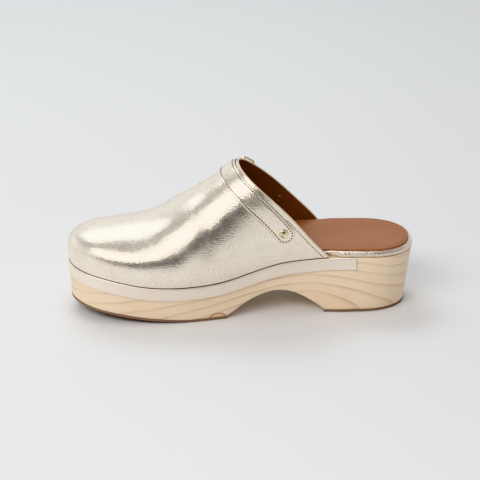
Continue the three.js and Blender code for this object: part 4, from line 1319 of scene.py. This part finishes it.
# Floor, lights and camera
floor_shader = Shader("pale_floor")
floor_tone = floor_shader.blend(floor_shader.noise(3, 2), (0.825, 0.82, 0.822), (0.805, 0.80, 0.802))
floor_shader.set(Base_Color=floor_tone, Roughness=0.75)
floor_mesh = bpy.data.meshes.new("studio_floor")
FLOOR_HALF = 6.0
corners = [(-FLOOR_HALF, -FLOOR_HALF, 0), (FLOOR_HALF, -FLOOR_HALF, 0), (FLOOR_HALF, FLOOR_HALF, 0)]
corners.append((-FLOOR_HALF, FLOOR_HALF, 0))
floor_mesh.from_pydata(corners, [], [(0, 1, 2, 3)])
floor_mesh.materials.append(floor_shader.material)
floor = bpy.data.objects.new("studio_floor", floor_mesh)
bpy.context.collection.objects.link(floor)


def aim(item, place, target):
    item.location = place
    item.rotation_euler = (Vector(target) - Vector(place)).to_track_quat("-Z", "Y").to_euler()


def softbox(name, place, target, size, power, color=(1, 1, 1), shape_y=None):
    lamp = bpy.data.lights.new(name, "AREA")
    lamp.shape = "RECTANGLE"
    lamp.size = size
    lamp.size_y = shape_y or size
    lamp.energy = power
    lamp.color = color
    item = bpy.data.objects.new(name, lamp)
    bpy.context.collection.objects.link(item)
    aim(item, place, target)
    return item


def from_shoe(azimuth, elevation, distance):
    """A place seen from the shoe: azimuth 0 is the medial side, 90 the toe."""
    turn, rise = math.radians(azimuth), math.radians(elevation)
    flat = math.cos(rise) * distance
    return (math.sin(turn) * flat, math.cos(turn) * flat, math.sin(rise) * distance)


middle_of_shoe = (0.02, 0.0, 0.06)
softbox("key_softbox", from_shoe(158, 54, 1.7), middle_of_shoe, 1.0, 8.8, (0.92, 1.0, 1.02), shape_y=0.75)
softbox("fill_softbox", from_shoe(34, 43, 1.6), middle_of_shoe, 1.15, 12.5, (1.0, 0.985, 0.96), shape_y=0.6)

world = bpy.data.worlds.new("studio")
world.use_nodes = True
sky = world.node_tree
ways = sky.nodes.new("ShaderNodeSeparateXYZ")
sky.links.new(sky.nodes.new("ShaderNodeTexCoord").outputs["Generated"], ways.inputs[0])


def sky_step(value, low, high, to_low, to_high):
    node = sky.nodes.new("ShaderNodeMapRange")
    node.interpolation_type = "SMOOTHSTEP"
    sky.links.new(value, node.inputs["Value"])
    for label, number in zip(
            ("From Min", "From Max", "To Min", "To Max"), (low, high, to_low, to_high)):
        node.inputs[label].default_value = number
    return node.outputs["Result"]


def sky_math(operation, a, b):
    node = sky.nodes.new("ShaderNodeMath")
    node.operation = operation
    for value, socket in zip((a, b), node.inputs):
        if isinstance(value, bpy.types.NodeSocket):
            sky.links.new(value, socket)
        else:
            socket.default_value = value
    return node.outputs[0]


low_sky = sky_step(ways.outputs["Z"], 0.3, 0.75, 1.0, 0.0)
far_wall = sky_math("MULTIPLY", sky_step(ways.outputs["Y"], -0.75, 0.1, 0.42, 0.0), low_sky)
toe_wall = sky_math("MULTIPLY", sky_step(ways.outputs["X"], 0.55, 0.92, 0.0, 0.3), low_sky)
near_dark = sky_math(
    "MULTIPLY", sky_step(ways.outputs["Y"], 0.7, 0.92, 0.0, -0.38),
    sky_step(ways.outputs["Z"], 0.38, 0.55, 1.0, 0.0))
glow = sky_math("ADD", sky_math("ADD", far_wall, toe_wall), sky_math("ADD", near_dark, 0.46))
sky.links.new(glow, sky.nodes["Background"].inputs["Strength"])
sky.nodes["Background"].inputs["Color"].default_value = (0.98, 0.985, 1.0, 1)
bpy.context.scene.world = world
bpy.context.scene.view_settings.view_transform = "Khronos PBR Neutral"

AZIMUTH = math.radians(3.5)
ELEVATION = math.radians(22.5)
DISTANCE = 1.3
FOCAL_PIXELS = 1703.0
PHOTO_WIDTH = 480
target = Vector((0.00004, -0.0067, 0.045))
back = Vector((
    math.sin(AZIMUTH) * math.cos(ELEVATION), math.cos(AZIMUTH) * math.cos(ELEVATION),
    math.sin(ELEVATION)))
lens = bpy.data.cameras.new("photo_camera")
lens.sensor_width = 36.0
lens.lens = lens.sensor_width * FOCAL_PIXELS / PHOTO_WIDTH
lens.clip_start = 0.05
camera = bpy.data.objects.new("photo_camera", lens)
bpy.context.collection.objects.link(camera)
aim(camera, target + back * DISTANCE, target)
bpy.context.scene.camera = camera
